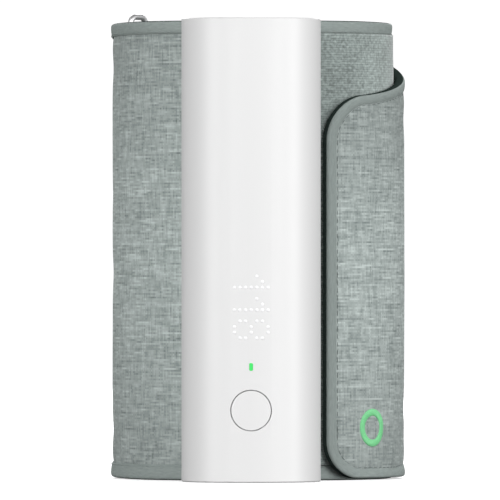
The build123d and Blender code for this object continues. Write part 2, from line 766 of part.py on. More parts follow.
with BuildPart() as clamp_plate:
    curved_wall(loop_centre, (stiffener_inner, stiffener_outer), (-tube_side_angle, tube_side_angle),
                (0, cuff_height))
    clamp_outline(0, Mode.INTERSECT)
    head_seat = loop_y - sqrt(stiffener_outer**2 - (screw_x + screw_head) ** 2) + screw_web
    for x, z in screw_places:
        disc_along_front(x, z, screw_radius + seat_gap, 0, loop_y, Mode.SUBTRACT)
        disc_along_front(x, z, screw_head + seat_gap, head_seat, loop_y, Mode.SUBTRACT)
    disc_along_front(0, manifold_middle, port_radius + seat_gap, 0, loop_y, Mode.SUBTRACT)
clamp_plate.part.label = "clamp_plate"

with BuildPart() as clamp_screws:
    for x, z in screw_places:
        disc_along_front(x, z, screw_head, head_seat, head_seat + screw_head_height)
        disc_along_front(x, z, screw_radius, head_seat - screw_length, head_seat)
clamp_screws.part.label = "clamp_screws"

with BuildPart() as stiffener:
    curved_wall(loop_centre, (stiffener_inner, stiffener_outer), (wing_end_angle, lining_end_angle),
                layer_heights)
    clamp_outline(moving_gap, Mode.SUBTRACT)
stiffener.part.label = "stiffener"

with BuildPart() as bladder:
    curved_wall(loop_centre, (bladder_inner, bladder_outer), (bladder_start_angle, bladder_end_angle),
                (layer_bottom + binding_height, layer_top - binding_height))
    # The air port runs out through the clamp plate, cover and saddle.
    disc_along_front(0, manifold_middle, port_radius, cuff_port_front, loop_y - bladder_inner)
    disc_along_front(0, manifold_middle, port_bore, cuff_port_front, loop_y - bladder_outer, Mode.SUBTRACT)
bladder.part.label = "bladder"

with BuildPart() as cuff_lining:
    curved_wall(loop_centre, (lining_inner, lining_outer), (wing_end_angle, lining_end_angle), layer_heights)
cuff_lining.part.label = "cuff_lining"

with BuildPart() as strap_core:
    curved_wall(loop_centre, (strap_inner, stiffener_outer), (lining_end_angle + layer_gap, strap_leg_angle),
                layer_heights)
strap_core.part.label = "strap_core"


def edge_binding(bottom, top):
    """Binding tape round one edge; it is thinner beside the ring's sleeve and behind the tube."""
    flush = loop_radius
    full = loop_radius + binding_proud
    dipped = loop_radius - binding_dip
    sleeve_side_angle = sleeve_clear_angle - full_turn
    with BuildPart() as tape:
        for inner, outer, start, end in (
            (binding_inner, flush, wing_end_angle, sleeve_side_angle),
            (binding_inner, full, sleeve_side_angle, -tube_side_angle),
            (binding_inner, flush, -tube_side_angle, tube_side_angle),
            (binding_inner, dipped, tube_side_angle, lining_end_angle),
            (strap_inner, dipped, lining_end_angle, strap_leg_angle),
        ):
            curved_wall(loop_centre, (inner, outer), (start, end), (bottom, top))
    return tape


bottom_binding = edge_binding(0, binding_height)
bottom_binding.part.label = "bottom_binding"

top_binding = edge_binding(cuff_height - binding_height, cuff_height)
top_binding.part.label = "top_binding"

# ================================================================================================
# Wire ring, its sleeve and the strap's fold round it
# ================================================================================================
ring_middle = (
    (strap_leg_point[0] + sleeve_leg_point[0]) / 2,
    (strap_leg_point[1] + sleeve_leg_point[1]) / 2,
)
ring_across = (sleeve_leg_point[0] - strap_leg_point[0], sleeve_leg_point[1] - strap_leg_point[1])
ring_pitch = sqrt(ring_across[0] ** 2 + ring_across[1] ** 2)
ring_plane = Plane(
    origin=(ring_middle[0], ring_middle[1], (ring_bottom + ring_top) / 2),
    x_dir=(ring_across[0], ring_across[1], 0),
    z_dir=(-ring_across[1], ring_across[0], 0),
)

with BuildPart() as wire_ring:
    with BuildLine(ring_plane) as ring_path:
        half_height = (ring_top - ring_bottom) / 2 - wire_radius
        FilletPolyline(
            (-ring_pitch / 2, -half_height),
            (-ring_pitch / 2, half_height),
            (ring_pitch / 2, half_height),
            (ring_pitch / 2, -half_height),
            radius=ring_corner,
            close=True,
        )
    with BuildSketch(Plane(origin=ring_path.line @ 0, z_dir=ring_path.line % 0)):
        Circle(wire_radius)
    sweep()
wire_ring.part.label = "wire_ring"

with BuildPart() as ring_sleeve:
    upright_cylinder(sleeve_leg_point[0], sleeve_leg_point[1], sleeve_radius + sleeve_thickness,
                     sleeve_bottom, sleeve_top)
    curved_wall(loop_centre, (loop_radius + layer_gap, loop_radius + layer_gap + sleeve_thickness),
                (sleeve_leg_angle, sleeve_end_angle), (sleeve_bottom, sleeve_top))
    upright_cylinder(sleeve_leg_point[0], sleeve_leg_point[1], sleeve_radius, sleeve_bottom, sleeve_top,
                     Mode.SUBTRACT)
ring_sleeve.part.label = "ring_sleeve"

fold_bottom = ring_bottom + 2 * wire_radius + moving_gap

with BuildPart() as strap_fold:
    curved_wall(strap_leg_point, (fold_radius, fold_radius + strap_thickness),
                (strap_leg_angle, strap_leg_angle + half_turn), (fold_bottom, cuff_height))
strap_fold.part.label = "strap_fold"

# ================================================================================================
# Outer run of the strap and the flap
# ================================================================================================
slope = slope_drop / flap_outer
slope_lean = around((0, 0), slope, flap_tip_angle)


def cut_to_slope(inset):
    """Cut the strap along its sloping top edge."""
    edge_plane = Plane(origin=(loop_x, loop_y, slope_height - inset), z_dir=(slope_lean[0], slope_lean[1], 1))
    split(bisect_by=edge_plane, keep=Keep.BOTTOM)


def outer_run(inset, proud):
    """Outer run of the strap, from the flap's hinge back to the ring."""
    with BuildPart() as run:
        curved_wall(return_centre, (return_inner, return_inner + flap_thickness + proud),
                    (hinge_angle + rim_stop_angle, strap_leg_angle + rim_stop_angle),
                    (strap_bottom + inset, cuff_height - inset))
        cut_to_slope(inset)
        fold_side = Plane(
            origin=(loop_x, loop_y, 0),
            z_dir=(cos(radians(strap_leg_angle)), sin(radians(strap_leg_angle)), 0),
        )
        split(bisect_by=fold_side, keep=Keep.BOTTOM)
    return run.part


hinge_half_gap = degrees(asin((flap_thickness / 2 + moving_gap) / hinge_radius))

with BuildPart() as strap_return:
    add(outer_run(rim_width, 0))
    with BuildSketch(Plane(origin=(return_centre[0], return_centre[1], strap_bottom))):
        sector(return_inner, return_inner + flap_thickness, hinge_angle + hinge_half_gap,
               hinge_angle + rim_stop_angle)
    extrude(amount=cuff_height - strap_bottom)
    cut_to_slope(0)
strap_return.part.label = "strap_return"

with BuildPart() as return_binding:
    add(outer_run(0, binding_proud))
    add(outer_run(rim_width, 2 * binding_proud), mode=Mode.SUBTRACT)
return_binding.part.label = "return_binding"

corner_point = around(loop_centre, flap_outer, corner_face_angle)
corner_plane = Plane(
    origin=(corner_point[0], corner_point[1], 0),
    x_dir=(cos(radians(corner_face_angle)), sin(radians(corner_face_angle)), 0),
    z_dir=(sin(radians(corner_face_angle)), -cos(radians(corner_face_angle)), 0),
)


def edge_height(angle):
    """Height of the strap's sloping top edge at an angle round the cuff."""
    return slope_height - slope_drop * cos(radians(angle - flap_tip_angle))


def flap_blank(inset, proud):
    """Flap with its rounded tip corners, pulled in by an inset along the edges."""
    tip_x = inset - flap_outer * sin(radians(corner_face_angle - flap_tip_angle))
    shoulder_x = tip_x + top_corner
    shoulder_angle = corner_face_angle + degrees(asin(shoulder_x / flap_outer))
    bottom = strap_bottom + inset
    with BuildPart() as blank:
        curved_wall(loop_centre, (flap_inner, flap_outer + proud),
                    (flap_tip_angle - rim_stop_angle, hinge_angle - rim_stop_angle), (bottom, cuff_height))
        cut_to_slope(inset)
        with BuildSketch(corner_plane) as outline:
            with BuildLine():
                Polyline(
                    (tip_x, bottom),
                    (tip_x, edge_height(flap_tip_angle) - inset),
                    (shoulder_x, edge_height(shoulder_angle) - inset),
                    (shoulder_x + top_corner, cuff_height),
                    (flap_outer, cuff_height),
                    (flap_outer, bottom),
                    close=True,
                )
            make_face()
            tip_corners = outline.vertices().group_by(Axis.X)[0].sort_by(Axis.Y)
            fillet(tip_corners[0], bottom_corner - inset)
            fillet(outline.vertices().group_by(Axis.X)[0].sort_by(Axis.Y)[-1], top_corner - inset)
        extrude(amount=flap_outer, both=True, mode=Mode.INTERSECT)
    return blank.part


with BuildPart() as flap_panel:
    add(flap_blank(rim_width, 0))
    with BuildSketch(Plane(origin=(loop_x, loop_y, strap_bottom))):
        sector(flap_inner, flap_outer, hinge_angle - rim_stop_angle, hinge_angle)
        with Locations(around((0, 0), hinge_radius, hinge_angle)):
            Circle(flap_thickness / 2)
    extrude(amount=cuff_height - strap_bottom)
    cut_to_slope(0)
    curved_wall(loop_centre, (flap_inner - layer_gap, flap_inner + hook_thickness + layer_gap),
                (hook_start_angle - hook_side_angle, hook_end_angle + hook_side_angle),
                (hook_bottom - layer_gap, hook_top + layer_gap), Mode.SUBTRACT)
flap_panel.part.label = "flap_panel"

with BuildPart() as flap_binding:
    add(flap_blank(0, binding_proud))
    add(flap_blank(rim_width, 2 * binding_proud), mode=Mode.SUBTRACT)
flap_binding.part.label = "flap_binding"

with BuildPart() as hook_pad:
    curved_wall(loop_centre, (flap_inner, flap_inner + hook_thickness), (hook_start_angle, hook_end_angle),
                (hook_bottom, hook_top))
hook_pad.part.label = "hook_pad"

mark_point = around(loop_centre, flap_outer, mark_angle)
mark_reach_angle = degrees(atan(2 * mark_radius / flap_outer))
mark_plane = Plane(
    origin=(mark_point[0], mark_point[1], mark_height),
    x_dir=(cos(radians(mark_angle)), sin(radians(mark_angle)), 0),
    z_dir=(sin(radians(mark_angle)), -cos(radians(mark_angle)), 0),
)

with BuildPart() as embroidered_ring:
    curved_wall(loop_centre, (flap_outer, flap_outer + mark_thickness),
                (mark_angle - mark_reach_angle, mark_angle + mark_reach_angle),
                (mark_height - 2 * mark_radius, mark_height + 2 * mark_radius))
    with BuildSketch(mark_plane):
        Circle(mark_radius)
        Circle(mark_radius - mark_stroke, mode=Mode.SUBTRACT)
    extrude(amount=mark_radius, both=True, mode=Mode.INTERSECT)
embroidered_ring.part.label = "embroidered_ring"

# ================================================================================================
# Write one STEP file for each piece
# ================================================================================================
pieces = [
    front_shell, rear_saddle, bottom_end_cap, top_end_cap,
    button_cap, switch_plunger, tact_switch, light_pipe, status_led, display_board, led_array, light_baffle,
    chassis, main_board, board_chips, board_screws, charging_socket, battery_cell,
    motor_can, motor_rotor, pump_body, pump_diaphragm, pump_cover,
    air_manifold, pump_hose, cuff_hose, pressure_sensor, sensor_hose, valve_body, valve_plunger,
    cuff_cover, pile_panel, clamp_plate, clamp_screws, stiffener, bladder, cuff_lining, strap_core,
    bottom_binding, top_binding, wire_ring, ring_sleeve, strap_fold,
    strap_return, return_binding, flap_panel, flap_binding, hook_pad, embroidered_ring,
]

os.makedirs("parts", exist_ok=True)
for piece in pieces:
    export_step(piece.part, f"parts/{piece.part.label}.step")
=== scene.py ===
"""Dresses the model of an upper-arm blood pressure monitor: cloth, finishes, display, stage and camera."""
import functools
import json
import math

import bpy
import numpy as np
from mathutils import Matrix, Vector, noise


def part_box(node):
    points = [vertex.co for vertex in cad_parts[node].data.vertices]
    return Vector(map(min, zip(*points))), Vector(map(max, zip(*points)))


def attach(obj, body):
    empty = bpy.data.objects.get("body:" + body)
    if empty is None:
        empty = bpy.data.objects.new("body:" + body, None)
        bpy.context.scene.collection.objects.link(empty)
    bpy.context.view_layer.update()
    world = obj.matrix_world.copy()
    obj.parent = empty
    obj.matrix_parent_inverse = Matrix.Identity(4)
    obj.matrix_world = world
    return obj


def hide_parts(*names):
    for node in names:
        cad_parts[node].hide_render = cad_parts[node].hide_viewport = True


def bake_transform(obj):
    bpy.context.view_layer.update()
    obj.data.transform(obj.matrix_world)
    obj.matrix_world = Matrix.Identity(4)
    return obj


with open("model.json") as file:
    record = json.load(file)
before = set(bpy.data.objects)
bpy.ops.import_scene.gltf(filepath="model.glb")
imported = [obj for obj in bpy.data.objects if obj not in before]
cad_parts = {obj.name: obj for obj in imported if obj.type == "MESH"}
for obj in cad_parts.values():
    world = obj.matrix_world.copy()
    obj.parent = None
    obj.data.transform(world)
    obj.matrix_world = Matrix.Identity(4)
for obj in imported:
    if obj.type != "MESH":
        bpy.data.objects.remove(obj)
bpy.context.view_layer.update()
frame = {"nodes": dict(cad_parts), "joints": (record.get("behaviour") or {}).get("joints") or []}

bl_info = {
    "name": "Upper-arm blood pressure monitor",
    "version": (1, 0, 0),
    "blender": (4, 5, 0),
    "location": "View3D > Sidebar > Monitor",
    "description": "Cloth, finishes, display and stage for a tube-shaped monitor on a fabric arm cuff",
    "category": "Object",
}

MM = 0.001

# ---- Places read from the frame ----
PILE_LOW, PILE_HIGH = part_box("pile_panel")
CUFF_RADIUS = (PILE_HIGH.y - PILE_LOW.y) / 2
CUFF_CENTRE = np.array([PILE_HIGH.x - CUFF_RADIUS, (PILE_LOW.y + PILE_HIGH.y) / 2])
CUFF_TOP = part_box("top_binding")[1].z
STRAP_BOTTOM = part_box("flap_binding")[0].z
FOLD_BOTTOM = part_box("strap_fold")[0].z
TUBE_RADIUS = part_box("front_shell")[1].x
JOINT_PLACES = {joint["name"]: joint.get("pos_m") for joint in frame["joints"]}

# ---- Plan of the cuff and strap: angles in degrees from the front (-Y) towards the right (+X) ----
TUBE_SIDE = 21.5  # the tube hides the cuff up to here
WING_END = -119.0
LINING_END = 95.0
FLAP_TIP = 28.7
STRAP_LEG = 228.5  # the ring's leg that the strap turns round
SLEEVE_CLEAR = -108.0  # the tape lies flush beside the ring's sleeve
SLEEVE_TAIL = 251.0

# ---- Thicknesses, radii and widths, in metres ----
COVER = 0.8 * MM
LINING_RADIUS = 43.75 * MM
LINING = 0.7 * MM
STRAP_INSIDE_RADIUS = 44.6 * MM
STRAP_INSIDE = 2.1 * MM
TAPE_INSIDE_RADIUS = 43.25 * MM
TAPE_DIP = 0.35 * MM  # the tape of the pile side lies this far below its cloth
TAPE_LOW = 5.3 * MM  # width of the tape along the cuff's lower edge
TAPE_HIGH = 4.5 * MM
STRAP_GAP = 0.3 * MM  # between the flap and the pile under it
STRAP = 2.9 * MM
STRAP_BACK = 0.08 * MM  # the strap's cloth starts this far above its inner face
FLAP_LOFT = 0.3 * MM  # the flap is padded this much thicker than the strap behind it
FOLD_RADIUS = 1.8 * MM
RING_WIRE = 1.0 * MM
SLEEVE_CLOTH = 0.8 * MM
RIM_WIDTH = 4.2 * MM  # at the tip
RIM_FRONT = 3.5 * MM
RIM_BACK = 4.9 * MM
SLOPE_TOP = CUFF_TOP - 12.8 * MM  # the strap's sloping edge over the cuff's axis
SLOPE_DROP = 13.0 * MM
BOTTOM_CORNER = 12.5 * MM
TOP_CORNER = 15.0 * MM


def angle_of(point):
    """Angle round the cuff of a point, in degrees from the front towards the right."""
    return math.degrees(math.atan2(point[0] - CUFF_CENTRE[0], CUFF_CENTRE[1] - point[1])) % 360


HINGE = angle_of(JOINT_PLACES["flap_peel"])
SLEEVE_LEG = angle_of(JOINT_PLACES["ring_pivot"])
LEG_RADIUS = CUFF_RADIUS + FOLD_RADIUS


def linear(hex_colour):
    """Linear RGB of an sRGB hex colour such as #A0B4AA."""
    channels = [int(hex_colour[i:i + 2], 16) / 255 for i in (1, 3, 5)]
    return tuple(c / 12.92 if c <= 0.04045 else ((c + 0.055) / 1.055) ** 2.4 for c in channels)


# ==== Properties ====
class ClothSizes(bpy.types.PropertyGroup):
    """Sizes of the cloth work that a maker would change."""
    thread: bpy.props.FloatProperty(
        name="Thread spacing",
        description="Between threads of the melange cloth: 0.35 mm on the real one, "
                    "drawn coarser so that it shows",
        default=0.6 * MM, unit="LENGTH")
    rib: bpy.props.FloatProperty(
        name="Pile rib",
        description="Between ribs of the loop pile: 0.5 mm on the real one, "
                    "drawn coarser so that it shows",
        default=0.8 * MM, unit="LENGTH")
    crown: bpy.props.FloatProperty(
        name="Crown", description="How far padded cloth rises from its seam",
        default=0.35 * MM, unit="LENGTH")
    tape_proud: bpy.props.FloatProperty(
        name="Tape height", description="How far the binding tape stands out from the cloth",
        default=0.45 * MM, unit="LENGTH")
    pucker: bpy.props.FloatProperty(
        name="Pucker", description="Height of the puckers along the seams",
        default=0.14 * MM, unit="LENGTH")
    fullness: bpy.props.FloatProperty(
        name="Fullness", description="How much longer the padded cloth is than the space it is sewn into",
        default=0.4, subtype="PERCENTAGE")
    stitch: bpy.props.FloatProperty(
        name="Stitch", description="Length of one stitch and the gap after it",
        default=2.6 * MM, unit="LENGTH")


class MonitorColours(bpy.types.PropertyGroup):
    """Colours that a maker would change."""
    housing: bpy.props.FloatVectorProperty(
        name="Housing", description="White of the tube, caps and button",
        subtype="COLOR", size=3, default=linear("#EDEDED"))
    cloth_light: bpy.props.FloatVectorProperty(
        name="Light threads", description="Light threads of the melange cloth",
        subtype="COLOR", size=3, default=linear("#C4CECB"))
    cloth_dark: bpy.props.FloatVectorProperty(
        name="Dark threads", description="Dark threads of the melange cloth",
        subtype="COLOR", size=3, default=linear("#7D8785"))
    pile: bpy.props.FloatVectorProperty(
        name="Pile", description="Loop pile that the hooks hold",
        subtype="COLOR", size=3, default=linear("#8F9996"))
    tape: bpy.props.FloatVectorProperty(
        name="Tape", description="Binding tape round the edges",
        subtype="COLOR", size=3, default=linear("#9BA5A2"))
    lining: bpy.props.FloatVectorProperty(
        name="Lining", description="Knit on the arm's side",
        subtype="COLOR", size=3, default=linear("#3F4745"))
    # Dark edging, which also stands in as painted shade in the gaps along the strap's rim.
    edge: bpy.props.FloatVectorProperty(
        name="Edges", description="Edges and underside of the strap and tape",
        subtype="COLOR", size=3, default=linear("#36403D"))
    embroidery: bpy.props.FloatVectorProperty(
        name="Embroidery", description="Thread of the stitched ring",
        subtype="COLOR", size=3, default=linear("#83E09C"))
    lamp: bpy.props.FloatVectorProperty(
        name="Status light", description="Colour of the lit status light",
        subtype="COLOR", size=3, default=linear("#43DA66"))


def sizes():
    """The cloth sizes of this scene."""
    return bpy.context.scene.cloth_sizes


def colours():
    """The colours of this scene."""
    return bpy.context.scene.monitor_colours


# ==== Node tools ====
def add(tree, kind, sockets=None, stops=(), **settings):
    """Add a shader node with its settings, its colour stops, and a value or a link for each socket.

    A socket is linked where its value is another node, whose first output it takes, or one output.
    """
    made = tree.nodes.new("ShaderNode" + kind)
    for name, value in settings.items():
        setattr(made, name, value)
    for number, (position, colour) in enumerate(stops):
        elements = made.color_ramp.elements
        element = elements[number] if number < len(elements) else elements.new(1.0)
        element.position = position
        element.color = opaque(colour)
    for key, value in (sockets or {}).items():
        if isinstance(value, bpy.types.Node):
            value = value.outputs[0]
        if isinstance(value, bpy.types.NodeSocket):
            tree.links.new(value, made.inputs[key])
        else:
            made.inputs[key].default_value = value
    return made


def material_of(name, surface, *values):
    """The material of that name; on its first use a function adds its shader from a few values."""
    material = bpy.data.materials.get(name)
    if material is None:
        material = bpy.data.materials.new(name)
        material.use_nodes = True
        material.node_tree.nodes.clear()
        shader = surface(material.node_tree, *values)
        add(material.node_tree, "OutputMaterial", {"Surface": shader})
    return material


def opaque(colour):
    """RGBA of an RGB colour."""
    return (*colour[:3], 1.0)


def shade(colour, factor):
    """Colour made lighter or darker by a factor."""
    return tuple(min(1.0, channel * factor) for channel in colour)


def counted(tree, spacing, attribute=None):
    """Coordinates counted in spacings: over the object, or along and across the cloth by an attribute."""
    if attribute:
        source = add(tree, "Attribute", attribute_name=attribute).outputs["Vector"]
    else:
        source = add(tree, "TexCoord").outputs["Object"]
    return add(tree, "VectorMath", {0: source, 1: [1 / spacing] * 3}, operation="MULTIPLY")


def streaks(tree, threads, cells, detail=2.0, upright=False):
    """Noise in streaks that run along the threads and change from thread to thread.

    cells are the noise's cells for each spacing: along a thread, and from one thread to the next.
    """
    along, across = (cells[0], 0, 0), (0, cells[1], 0)
    if upright:
        along, across = (0, cells[0], 0), (cells[1], 0, 0)
    snapped = add(tree, "VectorMath", {0: threads}, operation="FLOOR")
    smooth = add(tree, "VectorMath", {0: threads, 1: along}, operation="MULTIPLY")
    stepped = add(tree, "VectorMath", {0: snapped, 1: across}, operation="MULTIPLY")
    place = add(tree, "VectorMath", {0: smooth, 1: stepped})
    return add(tree, "TexNoise", {"Vector": place, "Scale": 1.0, "Detail": detail})


def waves(tree, count, turn):
    """Sine of a coordinate that is turned by an angle for each spacing."""
    turned = add(tree, "Math", {0: count, 1: turn}, operation="MULTIPLY")
    return add(tree, "Math", {0: turned}, operation="SINE")


# ==== Materials of the cloth ====
PAINTED_SEAM_SHADE = 0.79  # painted shade of the melange cloth along its seams, against 1 on average
# Painted light of the melange cloth half-way up, against 1 on average.
PAINTED_MIDDLE_LIGHT = 1.09
RIM_SHADE_TONE = 0.83  # painted shade of the flap's cloth along its upper rim, against 1 elsewhere
YARN_SPREAD = 0.135  # of the noise, from the mean to the lightest or darkest yarn
SHORT_WEFT = (0.15, 1.37)  # noise cells for each thread spacing, along a yarn and from yarn to yarn
LONG_WEFT = (0.03, 1.83)
WARP = (0.09, 1.61)
SLUBS = (0.055, 2.3)  # of the few thick, pale yarns
PILE_MOTTLE = (0.35, 0.9)
TAPE_FLECK = (0.12, 0.7)
KNIT_FLECK = (0.1, 0.8)
TAPE_THREAD = 0.34 * MM  # real tape has about 0.2 mm: drawn coarser, so that it shows
KNIT_WALE = 0.6 * MM  # real lining has about 0.4 mm: drawn coarser, so that it shows
EMBROIDERY_STRAND = 0.4 * MM


def melange_cloth(tree, light, dark, spacing):
    """Plain-woven polyester of mixed light and dark yarns: streaks of yarn both ways, and a soft dry look.

    Painted light and shade make it paler half-way up and darker towards both tapes.
    """
    threads = counted(tree, spacing, "cloth")
    short = streaks(tree, threads, SHORT_WEFT, 3.0)
    long = streaks(tree, threads, LONG_WEFT, 1.0)
    weft = add(tree, "Mix", {"Factor": 0.4, 2: short, 3: long})
    warp = streaks(tree, threads, WARP, upright=True)
    raised = add(tree, "VectorMath", {0: threads, 1: (0, 0, 0.5)})
    over = add(tree, "TexChecker", {"Vector": raised, "Scale": 1.0}).outputs["Fac"]
    yarns = add(tree, "Mix", {"Factor": over, 2: weft, 3: warp})
    mean = add(tree, "Mix", {"Factor": 0.3, 2: weft, 3: warp})
    both = add(tree, "Mix", {"Factor": 0.72, 2: yarns, 3: mean})
    patches = add(tree, "TexNoise", {"Vector": threads, "Scale": 0.045, "Detail": 3.0})
    calm = add(tree, "Mix", {"Factor": 0.1, 2: both, 3: patches})
    thick = streaks(tree, threads, SLUBS, 1.0)
    slubs = add(tree, "MapRange", {"Value": thick, "From Min": 0.58, "From Max": 0.7, "To Max": 0.1})
    tone = add(tree, "Math", {0: calm, 1: slubs})
    middle = tuple((a + b) / 2 for a, b in zip(light, dark))
    yarn_colour = add(tree, "ValToRGB", {"Fac": tone},
                      stops=[(0.5 - YARN_SPREAD, dark), (0.5, middle), (0.5 + YARN_SPREAD, light)])
    parts = add(tree, "SeparateXYZ", {0: threads})
    # Painted light and shade: paler half-way up the cloth, darker towards its seams.
    upward = waves(tree, parts.outputs["Y"], math.pi * spacing / CUFF_TOP)
    painted_light_and_shade = add(tree, "MapRange", {"Value": upward, "To Min": PAINTED_SEAM_SHADE, "To Max": PAINTED_MIDDLE_LIGHT})
    # Painted shade: the flap's cloth is darker along its upper rim.
    rim_shade = add(tree, "Attribute", attribute_name="rim_shade").outputs["Fac"]
    drawn = add(tree, "MapRange", {"Value": rim_shade, "To Min": 1.0, "To Max": RIM_SHADE_TONE})
    toned = add(tree, "Math", {0: painted_light_and_shade, 1: drawn}, operation="MULTIPLY")
    colour = add(tree, "VectorMath", {0: yarn_colour, 1: toned}, operation="MULTIPLY")
    # Threads are round: each rises along its middle, where it lies over the other.
    along, across = (add(tree, "Math", {0: waves(tree, parts.outputs[axis], math.pi)}, operation="ABSOLUTE")
                     for axis in ("X", "Y"))
    relief = add(tree, "Mix", {"Factor": over, 2: across, 3: along})
    height = add(tree, "Math", {0: relief, 1: tone})
    bump = add(tree, "Bump", {"Height": height, "Strength": 0.3, "Distance": 0.12 * MM})
    return add(tree, "BsdfPrincipled",
               {"Base Color": colour, "Normal": bump, "Roughness": 0.86, "Sheen Weight": 0.12,
                "Sheen Roughness": 0.5, "Specular IOR Level": 0.3})


def ribbed_pile(tree, colour, spacing):
    """Brushed nylon loop pile on a ribbed knit: fine rows of loops, mottled where they lie over."""
    rows = counted(tree, spacing, "cloth")
    mottle = streaks(tree, rows, PILE_MOTTLE, 4.0)
    drift = add(tree, "TexNoise", {"Vector": rows, "Scale": 0.08, "Detail": 2.0})
    lumps = add(tree, "TexNoise", {"Vector": rows, "Scale": 0.75, "Detail": 3.0})
    cloud = add(tree, "Mix", {"Factor": 0.3, 2: mottle, 3: drift})
    tone = add(tree, "Mix", {"Factor": 0.45, 2: cloud, 3: lumps})
    parts = add(tree, "SeparateXYZ", {0: rows})
    rib = add(tree, "Math", {0: waves(tree, parts.outputs["Y"], math.pi)}, operation="ABSOLUTE")
    light = add(tree, "Mix", {"Factor": 0.08, 2: tone, 3: rib})
    shades = add(tree, "ValToRGB", {"Fac": light},
                 stops=[(0.4, shade(colour, 0.6)), (0.52, colour), (0.64, shade(colour, 1.45))])
    # Painted sheen: the colour is made up to 2.1 times as light where the pile is seen along its surface, as
    # upright fibre ends catch the light there.
    facing = add(tree, "LayerWeight", {"Blend": 0.5}).outputs["Facing"]
    painted_sheen_share = add(tree, "Math", {0: facing, 1: 2.0}, operation="POWER")
    ends = add(tree, "MapRange", {"Value": painted_sheen_share, "To Min": 1.0, "To Max": 2.1})
    painted_sheen_colour = add(tree, "VectorMath", {0: shades, 1: ends}, operation="MULTIPLY")
    fuzz = add(tree, "TexNoise", {"Vector": rows, "Scale": 2.4, "Detail": 3.0})
    height = add(tree, "Math", {0: rib, 1: 0.5, 2: fuzz}, operation="MULTIPLY_ADD")
    bump = add(tree, "Bump", {"Height": height, "Strength": 0.25, "Distance": 0.2 * MM})
    return add(tree, "BsdfPrincipled",
               {"Base Color": painted_sheen_colour, "Normal": bump, "Roughness": 0.92, "Sheen Weight": 1.0,
                "Sheen Roughness": 0.38, "Specular IOR Level": 0.2})


def woven_tape(tree, colour):
    """Folded polyester tape: plain, close and slightly smoother than the cloth beside it."""
    threads = counted(tree, TAPE_THREAD, "cloth")
    fleck = streaks(tree, threads, TAPE_FLECK)
    shades = add(tree, "ValToRGB", {"Fac": fleck},
                 stops=[(0.3, shade(colour, 0.9)), (0.7, shade(colour, 1.1))])
    parts = add(tree, "SeparateXYZ", {0: threads})
    rib = waves(tree, parts.outputs["X"], math.tau)
    height = add(tree, "Math", {0: rib, 1: 0.4, 2: fleck}, operation="MULTIPLY_ADD")
    bump = add(tree, "Bump", {"Height": height, "Strength": 0.7, "Distance": 0.15 * MM})
    return add(tree, "BsdfPrincipled",
               {"Base Color": shades, "Normal": bump, "Roughness": 0.82, "Specular IOR Level": 0.25})


def smooth_knit(tree, colour, sheen, specular):
    """Warp-knit polyester: fine upright wales, with a faint satin look where it isn't in the shade."""
    threads = counted(tree, KNIT_WALE, "cloth")
    fleck = streaks(tree, threads, KNIT_FLECK, upright=True)
    shades = add(tree, "ValToRGB", {"Fac": fleck},
                 stops=[(0.3, shade(colour, 0.88)), (0.7, shade(colour, 1.1))])
    parts = add(tree, "SeparateXYZ", {0: threads})
    wale = waves(tree, parts.outputs["X"], math.tau)
    bump = add(tree, "Bump", {"Height": wale, "Strength": 0.3, "Distance": 0.1 * MM})
    return add(tree, "BsdfPrincipled",
               {"Base Color": shades, "Normal": bump, "Roughness": 0.8, "Sheen Weight": sheen,
                "Specular IOR Level": specular})


def embroidery_thread(tree, colour):
    """Rayon embroidery thread: bright, with a silky gleam along each strand."""
    strands = counted(tree, EMBROIDERY_STRAND, "cloth")
    fleck = add(tree, "TexNoise", {"Vector": strands, "Scale": 1.6, "Detail": 2.0})
    shades = add(tree, "ValToRGB", {"Fac": fleck},
                 stops=[(0.3, shade(colour, 0.88)), (0.7, shade(colour, 1.08))])
    return add(tree, "BsdfPrincipled",
               {"Base Color": shades, "Roughness": 0.45, "Sheen Weight": 0.3, "Specular IOR Level": 0.5})


def melange():
    """Melange cloth of the cuff and strap."""
    return material_of("melange_polyester_weave", melange_cloth, colours().cloth_light,
                       colours().cloth_dark, sizes().thread)


def tape():
    """Binding tape."""
    return material_of("folded_polyester_tape", woven_tape, colours().tape)


def edge_knit_and_shade():
    """Dark, dull knit of the strap's edges and underside and of the tape's folds, which also gives painted
    shade in the gaps along the strap's rim.
    """
    return material_of("dark_edging_and_painted_shade", smooth_knit, colours().edge, 0.0, 0.0)


# ==== Materials of the rigid pieces ====
MOULD_GRAIN = 0.09 * MM
MOULD_GRAIN_DEPTH = 0.006 * MM
MOULD_FLOW = 17 * MM  # the plastic's flow in the mould leaves clouds of slightly other gloss
MOULD_GLOSS = 0.03  # the roughness of those clouds differs this much either way
DRAWING_MARK = 1.1 * MM  # real drawing marks are under 0.1 mm apart: drawn coarser, so that they show
LENS_CLOUD = 0.67 * MM
PLASTIC_IOR = 1.54  # typical of ABS, and near that of nylon and epoxy


def moulded_plastic(tree, colour, roughness, ior=PLASTIC_IOR):
    """Injection-moulded plastic: even colour with the fine spark-eroded grain of its mould."""
    grain = add(tree, "TexNoise", {"Vector": counted(tree, MOULD_GRAIN), "Scale": 1.0})
    flow = add(tree, "TexNoise", {"Vector": counted(tree, MOULD_FLOW), "Scale": 1.0})
    gloss = add(tree, "MapRange", {"Value": flow, "To Min": roughness - MOULD_GLOSS,
                                   "To Max": roughness + MOULD_GLOSS})
    bump = add(tree, "Bump", {"Height": grain, "Strength": 0.25, "Distance": MOULD_GRAIN_DEPTH})
    return add(tree, "BsdfPrincipled",
               {"Base Color": opaque(colour), "Roughness": gloss, "IOR": ior, "Normal": bump})


def metal(tree, colour, roughness, scratch):
    """Bare or plated metal: coloured reflections, dulled here and there by fine drawing marks."""
    marks = add(tree, "TexNoise", {"Vector": counted(tree, DRAWING_MARK), "Scale": 1.0, "Detail": 3.0})
    gloss = add(tree, "MapRange", {"Value": marks, "To Min": roughness, "To Max": roughness + scratch})
    return add(tree, "BsdfPrincipled", {"Base Color": opaque(colour), "Metallic": 1.0, "Roughness": gloss})


